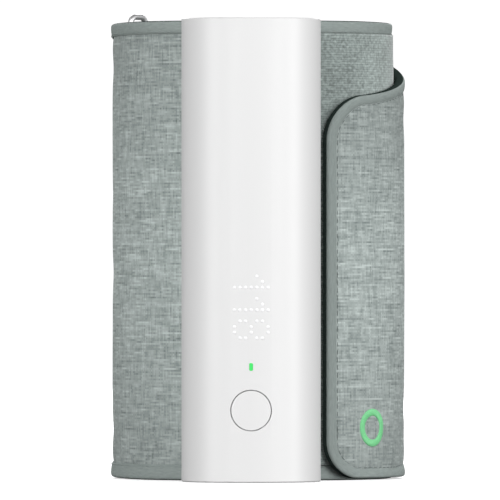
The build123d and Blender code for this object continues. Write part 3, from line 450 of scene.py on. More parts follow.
def lit_lens(tree, colour, strength, body):
    """Plastic with a lamp behind it: the whole face glows, with a faint cloud from the material."""
    cloud = add(tree, "TexNoise", {"Vector": counted(tree, LENS_CLOUD), "Scale": 1.0})
    glow = add(tree, "ValToRGB", {"Fac": cloud}, stops=[(0.2, shade(colour, 0.94)), (0.8, colour)])
    return add(tree, "BsdfPrincipled",
               {"Base Color": opaque(body), "Roughness": 0.35, "IOR": 1.58, "Emission Color": glow,
                "Emission Strength": strength})


def clad(nodes, material):
    """Give nodes of the frame their material."""
    for node in nodes:
        mesh = frame["nodes"][node].data
        mesh.materials.clear()
        mesh.materials.append(material)


# ==== Lines, and plan curves that a piece of cloth follows, seen from above ====
CUFF_POINTS = 721
STRAP_POINTS = 601
FOLD_POINTS = 61


def compass(angle):
    """Unit vectors, seen from above, for angles in degrees from the front towards the right."""
    turned = np.radians(angle)
    return np.stack([np.sin(turned), -np.cos(turned)], -1)


def travelled(points):
    """Distance gone at each point of a line."""
    return np.concatenate([[0.0], np.cumsum(np.linalg.norm(np.diff(points, axis=0), axis=1))])


def evenly(points, step):
    """The same line with its points about a step apart."""
    gone = travelled(points)
    even = np.linspace(0, gone[-1], int(gone[-1] / step) + 1)
    return np.stack([np.interp(even, gone, points[:, i]) for i in (0, 1)], -1)


def fade(angles, start, end):
    """1 up to one angle, falling to 0 at another."""
    return np.interp(angles, [start, end], [1.0, 0.0])


def ease(share):
    """Share from 0 to 1 with a soft start and end."""
    share = np.clip(share, 0, 1)
    return share * share * (3 - 2 * share)


class PlanCurve:
    """Line seen from above with its outward normals, measured along its length."""

    def __init__(self, points, normals, angles):
        self.points = points
        self.normals = normals
        self.angles = angles
        self.along = travelled(points)
        self.length = self.along[-1]

    def place(self, along, heights, out):
        """Points at distances along the curve, at heights, and at offsets out of it."""
        along, heights, out = np.broadcast_arrays(along, heights, out)
        x, y, normal_x, normal_y = (np.interp(along, self.along, values)
                                    for values in (*self.points.T, *self.normals.T))
        size = np.hypot(normal_x, normal_y)
        return np.stack([x + normal_x / size * out, y + normal_y / size * out, heights], -1)

    def angle_at(self, along):
        """Angle round the cuff at a distance along the curve."""
        return np.interp(along, self.along, self.angles)

    def along_at(self, angle):
        """Distance along the curve at an angle round the cuff."""
        return np.interp(angle, self.angles, self.along)


def cuff_curve():
    """Plan curve of the cuff's outside, from the wing's end round the front to the ring."""
    angles = np.linspace(WING_END, STRAP_LEG, CUFF_POINTS)
    outward = compass(angles)
    return PlanCurve(CUFF_CENTRE + CUFF_RADIUS * outward, outward, angles)


def strap_curve():
    """Plan curve of the strap's inner face: flap, outer run back to the ring, and the turn round its leg."""
    angles = np.linspace(FLAP_TIP, STRAP_LEG, STRAP_POINTS)
    behind = np.radians(np.maximum(angles - HINGE, 0))
    whole = math.radians(STRAP_LEG - HINGE)
    lift = (2 * FOLD_RADIUS - STRAP_GAP) * (1 - np.cos(behind)) / (1 - math.cos(whole))
    outward = compass(angles)
    run = CUFF_CENTRE + (CUFF_RADIUS + STRAP_GAP + lift)[:, None] * outward
    leg = CUFF_CENTRE + LEG_RADIUS * compass(STRAP_LEG)
    turn = np.linspace(0, 180, FOLD_POINTS)[1:]
    fold_out = compass(STRAP_LEG + turn)
    # Round the fold the angles hardly grow, so that all of the fold counts as the ring's place.
    return PlanCurve(np.concatenate([run, leg + FOLD_RADIUS * fold_out]), np.concatenate([outward, fold_out]),
                     np.concatenate([angles, STRAP_LEG + turn / 1000]))


STRAP_LINE = strap_curve()
CUFF_LINE = cuff_curve()
LEG_ALONG = STRAP_LINE.along_at(STRAP_LEG)


# ==== Mesh tools ====
def make_object(name, vertices, faces, cloth=None, materials=(), face_materials=None):
    """Smooth mesh object with its cloth coordinates stored on its points."""
    mesh = bpy.data.meshes.new(name)
    mesh.from_pydata([tuple(v) for v in vertices], [], faces)
    for material in materials:
        mesh.materials.append(material)
    if face_materials is not None:
        mesh.polygons.foreach_set("material_index", np.array(face_materials, dtype=np.int32))
    mesh.polygons.foreach_set("use_smooth", [True] * len(mesh.polygons))
    if cloth is not None:
        flat = np.zeros((len(vertices), 3), dtype=np.float32)
        flat[:, :2] = cloth
        stored = mesh.attributes.new("cloth", "FLOAT_VECTOR", "POINT")
        stored.data.foreach_set("vector", flat.ravel())
    mesh.update()
    made = bpy.data.objects.new(name, mesh)
    bpy.context.scene.collection.objects.link(made)
    return made


def grid_faces(rows, columns, first=0, wrap_rows=False, wrap_columns=False, flip=False):
    """Quads of a grid of points, row after row along the cloth and each row up it.

    They face out of the cloth, and flipped ones face into it.
    """
    faces = []
    for i in range(rows if wrap_rows else rows - 1):
        for j in range(columns if wrap_columns else columns - 1):
            a = first + i * columns + j
            b = first + i * columns + (j + 1) % columns
            c = first + (i + 1) % rows * columns + (j + 1) % columns
            d = first + (i + 1) % rows * columns + j
            faces.append((a, b, c, d) if flip else (a, d, c, b))
    return faces


def tube_faces(stations, sides, first=0):
    """Faces of a tube with closed ends, whose points are numbered station by station."""
    last = first + (stations - 1) * sides
    ends = [tuple(range(first, first + sides)), tuple(range(last + sides - 1, last - 1, -1))]
    return grid_faces(stations, sides, first=first, wrap_columns=True) + ends


def tubes(name, rings, material, cloth=None):
    """Many small tubes as one object, from their points by tube, station and side."""
    count, stations, sides = rings.shape[:3]
    faces = [face for number in range(count)
             for face in tube_faces(stations, sides, number * stations * sides)]
    return make_object(name, rings.reshape(-1, 3), faces, cloth, [material])


def swept(name, rings, cloth, materials, closed=False, second_from=None):
    """Solid through a row of closed outlines; its sides from one on take the second material."""
    count, sides = rings.shape[:2]
    if closed:
        faces = grid_faces(count, sides, wrap_rows=True, wrap_columns=True)
    else:
        faces = tube_faces(count, sides)
    quads = (count if closed else count - 1) * sides
    last_side = sides if second_from is None else second_from
    face_materials = [int(number < quads and number % sides >= last_side) for number in range(len(faces))]
    return make_object(name, rings.reshape(-1, 3), faces, cloth.reshape(-1, 2), materials, face_materials)


def layer(name, curve, along, heights, out, under, materials):
    """Closed sheet of cloth on a plan curve; its underside and edges take the last material.

    Its face lies at out and its underside at under, which are offsets out of the curve.
    """
    front = curve.place(along, heights, out)
    back = curve.place(along, heights, under)
    rows, columns = front.shape[:2]
    count = rows * columns
    faces = grid_faces(rows, columns)
    face_materials = [0] * len(faces)
    faces += grid_faces(rows, columns, first=count, flip=True)
    numbers = np.arange(count).reshape(rows, columns)
    rim = np.concatenate([numbers[0], numbers[1:, -1], numbers[-1, -2::-1], numbers[-2:0:-1, 0]]).tolist()
    faces += [(a, b, b + count, a + count) for a, b in zip(rim, rim[1:] + rim[:1])]
    face_materials += [len(materials) - 1] * (len(faces) - len(face_materials))
    vertices = np.concatenate([front.reshape(-1, 3), back.reshape(-1, 3)])
    cloth = np.stack(np.broadcast_arrays(along, heights), -1).reshape(-1, 2)
    return make_object(name, vertices, faces, np.tile(cloth, (2, 1)), materials, face_materials)


def wavy(along, heights, size, seed):
    """Smooth random waves between -1 and 1 over a stretch of cloth."""
    along, heights = np.broadcast_arrays(along, heights)
    values = [noise.noise(Vector((a / size, h / size, seed))) for a, h in zip(along.ravel(), heights.ravel())]
    return np.array(values).reshape(along.shape)


def crowded(count, share):
    """Places from 0 to 1, closer together at both ends: share is 0 for even spacing and at most 1."""
    even = np.linspace(0, 1, count)
    return (1 - share) * even + share * (1 - np.cos(math.pi * even)) / 2


def near_seam(distance, reach):
    """1 at a seam, fading away with the distance from it."""
    return np.exp(-np.maximum(distance, 0) / reach)


# ==== Padding of the cloth ====
SHEET_ROWS = 70  # stations of a simulated sheet along the cloth
SHEET_COLUMNS = 60
PADDING_FRAMES = 20
PADDING_LIMIT = 0.45 * MM  # the padding lifts the cloth no further than this
PADDING_PRESSURE = 60.0
POINT_MASS = 0.001


class Padding:
    """Lift of a sheet of cloth that is sewn down along its edges and blown out by its padding."""

    def __init__(self, curve, along, heights):
        self.lifts = np.zeros((SHEET_ROWS, SHEET_COLUMNS))
        points = curve.place(along, heights, 0)
        outward = curve.place(along, heights, 1) - points
        lifts = np.sum((self.simulate(points) - points) * outward, axis=-1)
        self.lifts = self.smooth(PADDING_LIMIT * np.tanh(lifts / PADDING_LIMIT))

    @staticmethod
    def simulate(points):
        """Points of the sheet after the cloth simulation, which holds its border."""
        rows, columns = points.shape[:2]
        sheet = make_object("padding_sheet", points.reshape(-1, 3), grid_faces(rows, columns))
        seam = sheet.vertex_groups.new(name="seam")
        seam.add([i * columns + j for i in range(rows) for j in range(columns)
                  if i in (0, rows - 1) or j in (0, columns - 1)], 1.0, "REPLACE")
        cloth = sheet.modifiers.new("padding", "CLOTH")
        cloth.point_cache.frame_start = 1
        cloth.point_cache.frame_end = PADDING_FRAMES
        cloth.collision_settings.use_collision = False
        cloth.settings.vertex_group_mass = seam.name
        cloth.settings.mass = POINT_MASS
        cloth.settings.use_pressure = True
        cloth.settings.uniform_pressure_force = PADDING_PRESSURE
        cloth.settings.effector_weights.gravity = 0
        cloth.settings.shrink_min = -sizes().fullness / 100
        scene = bpy.context.scene
        for number in range(1, PADDING_FRAMES + 1):
            scene.frame_set(number)
        evaluated = sheet.evaluated_get(bpy.context.evaluated_depsgraph_get())
        moved = np.empty(points.size)
        evaluated.data.vertices.foreach_get("co", moved)
        mesh = sheet.data
        bpy.data.objects.remove(sheet)
        bpy.data.meshes.remove(mesh)
        scene.frame_set(1)
        return moved.reshape(points.shape)

    @staticmethod
    def smooth(lifts, passes=2):
        """Lifts averaged with their neighbours; the border stays down."""
        for _ in range(passes):
            rows = (lifts[:-2] + 2 * lifts[1:-1] + lifts[2:]) / 4
            lifts[1:-1, 1:-1] = (rows[:, :-2] + 2 * rows[:, 1:-1] + rows[:, 2:]) / 4
        return lifts

    def at(self, along_share, height_share):
        """Lift at places given as shares of the sheet, from 0 to 1 both ways."""
        row = np.clip(along_share, 0, 1) * (SHEET_ROWS - 1)
        column = np.clip(height_share, 0, 1) * (SHEET_COLUMNS - 1)
        i = np.minimum(row.astype(int), SHEET_ROWS - 2)
        j = np.minimum(column.astype(int), SHEET_COLUMNS - 2)
        a, b = row - i, column - j
        low = self.lifts[i, j] * (1 - b) + self.lifts[i, j + 1] * b
        high = self.lifts[i + 1, j] * (1 - b) + self.lifts[i + 1, j + 1] * b
        return low * (1 - a) + high * a


# ==== Operators: housing, inner works and display ====
INNER_PLASTICS = (  # name, colour, roughness, IOR and pieces
    # Matt ABS and grey glass-filled nylon: dull, with wide soft highlights.
    ("matt_black_abs", "#1B1B1D", 0.55, PLASTIC_IOR,
     ("switch_plunger", "light_baffle", "pump_body", "pump_cover")),
    ("grey_glass_filled_nylon", "#63666A", 0.5, PLASTIC_IOR, ("chassis", "air_manifold", "clamp_plate")),
    # Cured resins: glossy solder mask, the matt epoxy of the chips, and the clear resin of the lamps.
    ("green_solder_mask", "#1F5A3A", 0.35, PLASTIC_IOR, ("display_board", "main_board")),
    ("moulded_epoxy", "#232326", 0.6, PLASTIC_IOR, ("tact_switch", "board_chips", "pressure_sensor")),
    ("clear_led_resin", "#E8ECEF", 0.3, PLASTIC_IOR, ("status_led", "led_array")),
    # Shrunk sleeve and smooth films and sheets: a tight, even gleam.
    ("battery_shrink_sleeve", "#2C5A8C", 0.4, PLASTIC_IOR, ("battery_cell",)),
    ("polyurethane_film", "#C6C8C3", 0.35, 1.5, ("bladder",)),
    ("polypropylene_sheet", "#D2D2CC", 0.45, 1.49, ("stiffener",)),
    # Rubbers: soft and nearly without highlights.
    ("silicone_tube", "#DDDCD6", 0.5, 1.41, ("pump_hose", "cuff_hose", "sensor_hose")),
    ("black_rubber", "#1E1E1E", 0.75, 1.52, ("pump_diaphragm",)),
)
INNER_METALS = (  # name, colour, roughness, depth of the drawing marks and pieces
    # Bright-drawn steel mirrors with a slight haze, and enamelled copper with a warm one.
    ("bright_steel", "#A9AAAC", 0.28, 0.12,
     ("board_screws", "motor_can", "valve_body", "valve_plunger", "clamp_screws")),
    ("enamelled_copper", "#B06A3A", 0.35, 0.1, ("motor_rotor",)),
)


class MONITOR_OT_housing(bpy.types.Operator):
    """Finish the tube, its caps, the button, the status light, the charging socket and the wire ring"""
    bl_idname = "monitor.housing"
    bl_label = "Housing"

    def execute(self, context):
        # Satin ABS spreads its highlights wide, and polycarbonate over a lamp glows evenly.
        clad(("front_shell", "rear_saddle", "bottom_end_cap", "top_end_cap", "button_cap"),
             material_of("satin_white_abs", moulded_plastic, colours().housing, 0.42))
        clad(("light_pipe",), material_of("lit_green_polycarbonate", lit_lens, colours().lamp, 1.0,
                                          linear("#1E7A38")))
        # Stamped steel is bright with fine marks, and satin chrome is pale and blurs what it mirrors.
        clad(("charging_socket",), material_of("stamped_steel_socket", metal, linear("#B9BABC"), 0.3, 0.1))
        clad(("wire_ring",), material_of("satin_chromed_steel_wire", metal, linear("#F1F1F2"), 0.5, 0.06))
        return {"FINISHED"}


class MONITOR_OT_inner_works(bpy.types.Operator):
    """Finish the pieces inside the tube and between the cuff's layers"""
    bl_idname = "monitor.inner_works"
    bl_label = "Inner works"

    def execute(self, context):
        for name, colour, roughness, ior, nodes in INNER_PLASTICS:
            clad(nodes, material_of(name, moulded_plastic, linear(colour), roughness, ior))
        for name, colour, roughness, scratch, nodes in INNER_METALS:
            clad(nodes, material_of(name, metal, linear(colour), roughness, scratch))
        return {"FINISHED"}


DIGIT_ROWS = (  # the reading, with the tops of its digits to the right
    "....*..",
    ".....*.",
    "*******",
    ".......",
    "....*..",
    ".....*.",
    "*******",
    ".......",
    ".**.**.",
    "*..*..*",
    "*..*..*",
    ".**.**.",
)
FIRST_ROW = 3  # of the lamp rows, counted from the top
LAMP_COLUMNS = 7
LAMP_ROWS = 18
DOT_RADIUS = 0.56 * MM
DOT_SIDES = 16
DOT_LIFT = 0.015 * MM
# Rings of a lens from its rim to its face: lift off the tube, and radius.
DOT_RINGS = ((-DOT_LIFT, DOT_RADIUS), (DOT_LIFT, DOT_RADIUS), (1.5 * DOT_LIFT, DOT_RADIUS / 2))


class MONITOR_OT_display(bpy.types.Operator):
    """Make the lit dots of the reading, which shine through the front of the tube"""
    bl_idname = "monitor.display"
    bl_label = "Display"

    def execute(self, context):
        low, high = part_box("led_array")
        pitch_x = (high.x - low.x) / LAMP_COLUMNS
        pitch_z = (high.z - low.z) / LAMP_ROWS
        lenses = []
        for row, marks in enumerate(DIGIT_ROWS):
            for column, mark in enumerate(marks):
                if mark == "*":
                    lenses.append(self.lens(low.x + (column + 0.5) * pitch_x,
                                            high.z - (FIRST_ROW + row + 0.5) * pitch_z))
        # White ABS lit from behind: only a little brighter than the tube round it.
        glow = material_of("glowing_white_abs", lit_lens, linear("#FFFFFF"), 0.16, linear("#F0F0F2"))
        dots = tubes("display_dots", np.array(lenses), glow)
        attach(dots, "monitor")
        return {"FINISHED"}

    @staticmethod
    def lens(x, z):
        """Rings of one thin lens of the tube's own curve."""
        lift, radius = np.array(DOT_RINGS).T[:, :, None]
        turned = -math.tau * np.arange(DOT_SIDES) / DOT_SIDES
        across = x + radius * np.cos(turned)
        front = -np.sqrt((TUBE_RADIUS + lift) ** 2 - across**2)
        return np.stack([across, front, z + radius * np.sin(turned)], -1)


# ==== Operators: cuff ====
COVER_GRID = (90, 110)  # stations of a layer along the cuff, and heights
PILE_GRID = (160, 110)
LINING_GRID = (120, 60)
COVER_TUCK = 2.2 * MM  # the cloth runs this far under the tape
PILE_TUCK = 0.1 * MM  # the pile is sewn over the tape, so almost none of it is tucked in
CUFF_CROWDING = 0.55  # of a layer's heights towards its seams, against 0 for even ones
CUFF_SINK = 0.05 * MM  # the cuff's cloth stays this far inside its nominal radius
CUFF_SEAM_REACH = 2.2 * MM  # the cloth dips towards its tapes over this reach
PUCKER_SIZE = 5 * MM
CUFF_PUCKER_REACH = 5 * MM
PUCKER_RATE_UP = 0.3  # how fast the cuff's puckers change up the cloth, against 1 along it


def tucked_heights(count, tuck=COVER_TUCK):
    """Heights of a cuff layer that is tucked under both tapes, closer together at the seams."""
    low, high = TAPE_LOW - tuck, CUFF_TOP - TAPE_HIGH + tuck
    return low + (high - low) * crowded(count, CUFF_CROWDING)


def cuff_swell(along, heights, seed, dip=0.5):
    """How far the cuff's cloth stands off its radius, with its dip at the seams as a share of the crown."""
    seam = np.minimum(heights - TAPE_LOW, CUFF_TOP - TAPE_HIGH - heights)
    folds = near_seam(seam, CUFF_PUCKER_REACH) * wavy(along, heights * PUCKER_RATE_UP, PUCKER_SIZE, seed)
    return sizes().pucker * folds - sizes().crown * dip * near_seam(seam, CUFF_SEAM_REACH) - CUFF_SINK


def cuff_padding(start, end, along, heights):
    """Lift of the cuff's cloth between two places along it and between its tapes."""
    low, high = TAPE_LOW, CUFF_TOP - TAPE_HIGH
    sheet = Padding(CUFF_LINE, np.linspace(start, end, SHEET_ROWS)[:, None],
                    np.linspace(low, high, SHEET_COLUMNS))
    return sheet.at((along - start) / (end - start), (heights - low) / (high - low))


def outer_face(name, material, ends, grid, tuck, seed, dip, lift):
    """Padded cloth on the outside of the cuff between two angles, with shares of the dip and of the lift."""
    start, end = (CUFF_LINE.along_at(angle) for angle in ends)
    along = np.linspace(start, end, grid[0])[:, None]
    heights = tucked_heights(grid[1], tuck)
    out = cuff_swell(along, heights, seed, dip) + lift * cuff_padding(start, end, along, heights)
    return layer(name, CUFF_LINE, along, heights, out, -COVER, [material, edge_knit_and_shade()])


class MONITOR_OT_cuff_cover(bpy.types.Operator):
    """Make the melange cloth on the outside of the cuff's wing"""
    bl_idname = "monitor.cuff_cover"
    bl_label = "Cuff cover"

    def execute(self, context):
        cover = outer_face("cuff_cover_cloth", melange(), (WING_END, 0), COVER_GRID, COVER_TUCK,
                           seed=1.5, dip=0.5, lift=1.0)
        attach(cover, "monitor")
        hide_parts("cuff_cover")
        return {"FINISHED"}


class MONITOR_OT_pile_panel(bpy.types.Operator):
    """Make the ribbed pile on the strap's inner run"""
    bl_idname = "monitor.pile_panel"
    bl_label = "Pile panel"

    def execute(self, context):
        pile = material_of("ribbed_loop_pile", ribbed_pile, colours().pile, sizes().rib)
        # The pile is stiffer than the melange cloth, so it dips less and is lifted half as far.
        panel = outer_face("pile_panel_cloth", pile, (0, STRAP_LEG), PILE_GRID, PILE_TUCK,
                           seed=4.5, dip=0.3, lift=0.5)
        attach(panel, "monitor")
        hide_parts("pile_panel")
        return {"FINISHED"}


class MONITOR_OT_linings(bpy.types.Operator):
    """Make the lining of the arm's side and the inside of the strap"""
    bl_idname = "monitor.linings"
    bl_label = "Linings"

    def execute(self, context):
        start, middle, end = (CUFF_LINE.along_at(angle) for angle in (WING_END, LINING_END, STRAP_LEG))
        lining = self.inner_face("arm_lining_cloth", start, middle, LINING_RADIUS - CUFF_RADIUS, LINING, 2.5)
        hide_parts("cuff_lining")
        inside = self.inner_face("strap_inside_cloth", middle, end, STRAP_INSIDE_RADIUS - CUFF_RADIUS,
                                 STRAP_INSIDE, 3.5)
        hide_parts("strap_core")
        return {"FINISHED"}

    @staticmethod
    def inner_face(name, start, end, depth, thickness, seed):
        """Cloth on the inside of the cuff between two places along it."""
        along = np.linspace(start, end, LINING_GRID[0])[:, None]
        heights = tucked_heights(LINING_GRID[1])[::-1]
        out = depth - 0.5 * cuff_swell(along, heights, seed)
        knit = material_of("warp_knit_lining", smooth_knit, colours().lining, 0.15, 0.3)
        face = layer(name, CUFF_LINE, along, heights, out, depth + thickness, [knit])
        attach(face, "monitor")
        return face


# ==== Tape and stitches ====
# Tape from its seam to its crown, as shares: inset from the edge, and fall.
TAPE_FALL = ((1.0, 1.0), (0.88, 0.62), (0.74, 0.34), (0.6, 0.15), (0.45, 0.04))
TAPE_LINED_FROM = len(TAPE_FALL) + 4  # side of the outline at which its dark lined side starts: dark knit, and painted shade round the tape's nose
TAPE_NOSE = 0.3  # the tape's folded edge is rounded over this share of its width
TAPE_NOSE_POINTS = 17
TAPE_SQUARENESS = 0.66  # of the folded edge: 1 is round, and less is squarer
STITCH_SIDES = 6
STITCH_STATIONS = 5
STITCH_RADIUS = 0.14 * MM
STITCH_TAPER = 1.96  # 2 would bring a stitch's ends to a point
STITCH_BOW = 0.1 * MM
STITCH_SINK = 0.06 * MM
CORNER_POINTS = 13


def tape_outline(inside, outside, width, sink):
    """Closed outline of a tape folded over an edge, as insets from the edge and offsets out of the cloth."""
    turned = np.radians(np.linspace(90, 270, TAPE_NOSE_POINTS))
    sideways, upwards = (np.sign(part) * np.abs(part) ** TAPE_SQUARENESS
                         for part in (np.cos(turned), np.sin(turned)))
    nose = TAPE_NOSE * width
    folded = np.stack([nose + nose * sideways, (inside + outside) / 2 + (outside - inside) / 2 * upwards], -1)
    over = np.array([[inset * width, outside - fall * sink] for inset, fall in TAPE_FALL])
    under = np.array([[inset * width, inside + fall * sink] for inset, fall in reversed(TAPE_FALL)])
    return np.concatenate([over, folded, under])


def tape_along(curve, path, insides, outsides, widths, sink):
    """Rings of points, cloth coordinates and inward directions of a tape on a path over a cloth."""
    ahead = np.gradient(path, axis=0)
    ahead /= np.linalg.norm(ahead, axis=1)[:, None]
    inward = np.stack([ahead[:, 1], -ahead[:, 0]], -1)
    rings, cloth = [], []
    for spot, across, low, high, width, gone in zip(path, inward, insides, outsides, widths, travelled(path)):
        outline = tape_outline(low, high, width, sink)
        along, heights = (spot + outline[:, :1] * across).T
        rings.append(curve.place(along, heights, outline[:, 1]))
        cloth.append(np.stack([np.full(len(outline), gone), travelled(outline)], -1))
    return np.array(rings), np.array(cloth), inward


def stitches(name, curve, path, inward, inset, offsets, material, filled=0.74):
    """Row of short stitches at an inset from a tape's edge, each filling part of its pitch."""
    spots = path + inward * inset
    gone = travelled(spots)
    pitch = sizes().stitch
    reach = np.linspace(-0.5, 0.5, STITCH_STATIONS)[:, None]
    turned = math.tau * np.arange(STITCH_SIDES) / STITCH_SIDES
    at = ((np.arange(int(gone[-1] / pitch)) + 0.5)[:, None, None] + reach * filled) * pitch
    along, height, inward_along, inward_up = (np.interp(at, gone, values) for values in (*spots.T, *inward.T))
    thick = STITCH_RADIUS * np.sqrt(1 - (STITCH_TAPER * reach) ** 2)
    bow = STITCH_BOW * (1 - (2 * reach) ** 2) - STITCH_SINK
    sideways = thick * np.cos(turned)
    rings = curve.place(along + inward_along * sideways, height + inward_up * sideways,
                        np.interp(at, gone, offsets) + bow + thick * np.sin(turned))
    cloth = np.stack(np.broadcast_arrays(at, turned * MM), -1)
    return tubes(name, rings, material, cloth.reshape(-1, 2))


def rounded_path(corners, radius, step):
    """Evenly spaced points along right-angled corners rounded by arcs, in places along and heights."""
    corners = [np.array(corner, dtype=float) for corner in corners]
    turned = np.linspace(0, math.pi / 2, CORNER_POINTS)[:, None]
    points = [corners[0][None]]
    for before, corner, after in zip(corners, corners[1:], corners[2:]):
        into = (before - corner) / np.linalg.norm(before - corner)
        onward = (after - corner) / np.linalg.norm(after - corner)
        points.append(corner + radius * (into * (1 - np.sin(turned)) + onward * (1 - np.cos(turned))))
    return evenly(np.concatenate([*points, corners[-1][None]]), step)


TAPE_STEP = 1.3 * MM
TAPE_SINK = 0.55 * MM  # the tape falls this far towards its seam
TAPE_FLUSH = 0.05 * MM
WING_CORNER = 3.0 * MM
DOUBLED = (-91.0, -83.0)  # the tape is doubled up to the first angle, and single from the second
DOUBLED_WIDTH = 0.7 * MM  # that doubled tape is wider, along the upper edge
DOUBLED_HEIGHT = 1.6  # times the height of single tape
DOUBLED_RISE = (SLEEVE_CLEAR, SLEEVE_CLEAR + 3.0)
DOUBLED_FALL = (-82.0, -70.0)
TUBE_MARGIN = 3.0  # degrees, over which the tape falls to pass behind the tube
WING_DRAW = 0.4 * MM  # both edges are drawn in towards the wing's end
WING_DRAWN = (-90.0, -50.0)
STRAP_DRAW = 0.35 * MM  # the upper edge is drawn in under the strap, and a third as much beside it
STRAP_DRAWN = ((50.0, 85.0), (0.3, 1.0))  # angles, and shares of the draw
LINING_STEP = 2.0  # degrees either side of the lining's end
SEAM_INSET = 0.7 * MM  # the stitches run this far inside the tape's seam
SEAM_DEPTH = 0.2 * MM


class MONITOR_OT_edge_tape(bpy.types.Operator):
    """Make the tape that binds the cuff's lower edge, wing end and upper edge, and its stitches"""
    bl_idname = "monitor.edge_tape"
    bl_label = "Edge tape"

    def execute(self, context):
        end = CUFF_LINE.length
        path = rounded_path([(end, 0), (0, 0), (0, CUFF_TOP), (end, CUFF_TOP)], WING_CORNER, TAPE_STEP)
        angles = CUFF_LINE.angle_at(path[:, 0])
        upper = np.clip(path[:, 1] / CUFF_TOP, 0, 1)
        path[:, 1] += WING_DRAW * fade(angles, *WING_DRAWN) * (1 - 2 * upper)
        path[:, 1] -= STRAP_DRAW * upper * np.interp(angles, *STRAP_DRAWN)
        widths = TAPE_LOW + (TAPE_HIGH - TAPE_LOW + DOUBLED_WIDTH * fade(angles, *DOUBLED)) * upper
        proud = sizes().tape_proud
        doubled = DOUBLED_HEIGHT * proud
        outer = np.interp(
            angles,
            [*DOUBLED_RISE, *DOUBLED_FALL,
             -TUBE_SIDE - TUBE_MARGIN, -TUBE_SIDE, TUBE_SIDE, TUBE_SIDE + TUBE_MARGIN],
            [TAPE_FLUSH, doubled, doubled, proud, proud, -TAPE_FLUSH, -TAPE_FLUSH, -TAPE_DIP])
        inner = np.interp(angles, [LINING_END - LINING_STEP, LINING_END + LINING_STEP],
                          [TAPE_INSIDE_RADIUS, STRAP_INSIDE_RADIUS]) - CUFF_RADIUS
        rings, cloth, inward = tape_along(CUFF_LINE, path, inner, outer, widths, TAPE_SINK)
        bound = swept("cuff_edge_tape", rings, cloth, [tape(), edge_knit_and_shade()], second_from=TAPE_LINED_FROM)
        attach(bound, "monitor")
        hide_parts("bottom_binding", "top_binding")
        rows = stitches("cuff_tape_stitches", CUFF_LINE, path, inward, widths[:, None] - SEAM_INSET,
                        outer - SEAM_DEPTH, tape())
        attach(rows, "monitor")
        return {"FINISHED"}


# ==== Operators: strap and flap ====
STRAP_HEIGHTS = 90  # points across the strap
STRAP_CROWDING = 0.5  # of those points towards the rim
TIP_STATIONS = 24  # columns of points along the strap: at its tip, along its run and round the ring
RUN_STATIONS = 110
FOLD_STATIONS = 26
FOLD_START = LEG_ALONG - 3 * MM
FOLD_RISE = 9 * MM  # the lower edge rises to the fold's bottom over this length
RIM_STEP = 1.1 * MM
RIM_TIP_POINTS = 40
RIM_RUN_POINTS = 260
RIM_SINK = 0.9 * MM  # the rim falls this far towards its seam
LOFT_FADE = (105.0, 140.0)  # the flap's loft ends between these angles
RIM_WIDTHS = ((36.0, 46.0, 72.0, 88.0), (RIM_WIDTH, RIM_FRONT, RIM_FRONT, RIM_BACK))  # by angle
SHEET_START = RIM_WIDTH  # the strap's sheet of padding, from the tip's rim to just before the ring
SHEET_END = LEG_ALONG - 6 * MM
RIM_OVERLAP = 0.3 * MM  # the rim's seam lies this far over the strap's cloth
STRAP_PUCKER_REACH = 4 * MM
STRAP_PUCKER_SEED = 2.5
GROOVE = (0.5, 0.5 * MM)  # narrow dip along the rim: share of the crown, and reach
SLOPE = (0.4, 2.0 * MM)  # wide dip along the rim
RIM_SHADE_REACH = 46 * MM  # painted shade on the flap's cloth reaches this far below its upper rim
RIM_SHADE_FADE = (85.0, 125.0)  # and up to between these angles
THREAD_OFFSET = 0.05 * MM  # the seam thread runs this far beside the rim
THREAD_DEPTH = 0.7 * MM  # and this far below its top
THREAD_FILLED = 0.96  # share of its length that shows


def corner_drop(distance, radius):
    """How far a rounded corner draws an edge in, at a distance from the tip."""
    short = np.clip(radius - distance, 0, radius)
    return radius - np.sqrt(np.maximum(radius**2 - short**2, 0))


def strap_low(along, inset=0.0):
    """Height of the strap's lower edge, drawn in by an inset."""
    rise = (FOLD_BOTTOM - STRAP_BOTTOM) * ease((along - LEG_ALONG + FOLD_RISE) / FOLD_RISE)
    return STRAP_BOTTOM + rise + inset + corner_drop(along - inset, BOTTOM_CORNER - inset)


def strap_high(along, inset=0.0):
    """Height of the strap's upper edge, drawn in by an inset."""
    turned = np.radians(STRAP_LINE.angle_at(along) - FLAP_TIP)
    slope = np.minimum(SLOPE_TOP - SLOPE_DROP * np.cos(turned), CUFF_TOP)
    return slope - inset - corner_drop(along - inset, TOP_CORNER - inset)


def tip_places(count):
    """Distances from the strap's tip to the end of its corners, closer together at the tip."""
    return (1 - np.cos(np.linspace(0, math.pi / 2, count))) * TOP_CORNER


def rim_path():
    """Path round the strap's outline, from the ring along its lower edge, tip and upper edge."""
    run = np.linspace(TOP_CORNER, STRAP_LINE.length, RIM_RUN_POINTS)[1:]
    along = np.concatenate([tip_places(RIM_TIP_POINTS), run])
    lower = np.stack([along, strap_low(along)], -1)[::-1]
    upper = np.stack([along, strap_high(along)], -1)
    return evenly(np.concatenate([lower, upper]), RIM_STEP)


def edge_distance(along, heights):
    """Distance of places on the strap from its outline."""
    flat_low = strap_low(along) - corner_drop(along, BOTTOM_CORNER)
    flat_high = strap_high(along) + corner_drop(along, TOP_CORNER)
    distance = np.minimum(np.minimum(along, heights - flat_low), flat_high - heights)
    for base, radius, sign in ((flat_low, BOTTOM_CORNER, 1), (flat_high, TOP_CORNER, -1)):
        up = radius - sign * (heights - base)
        side = radius - along
        inside = (up > 0) & (side > 0)
        distance = np.where(inside, np.minimum(distance, radius - np.hypot(up, side)), distance)
    return distance


def rim_width(along):
    """Width of the strap's rim: narrower along the flap, wider behind it."""
    return np.interp(STRAP_LINE.angle_at(along), *RIM_WIDTHS)


def inside_rim(along):
    """Heights of the lower and upper seams of the strap's rim."""
    return strap_low(along, rim_width(along)), strap_high(along, rim_width(along))


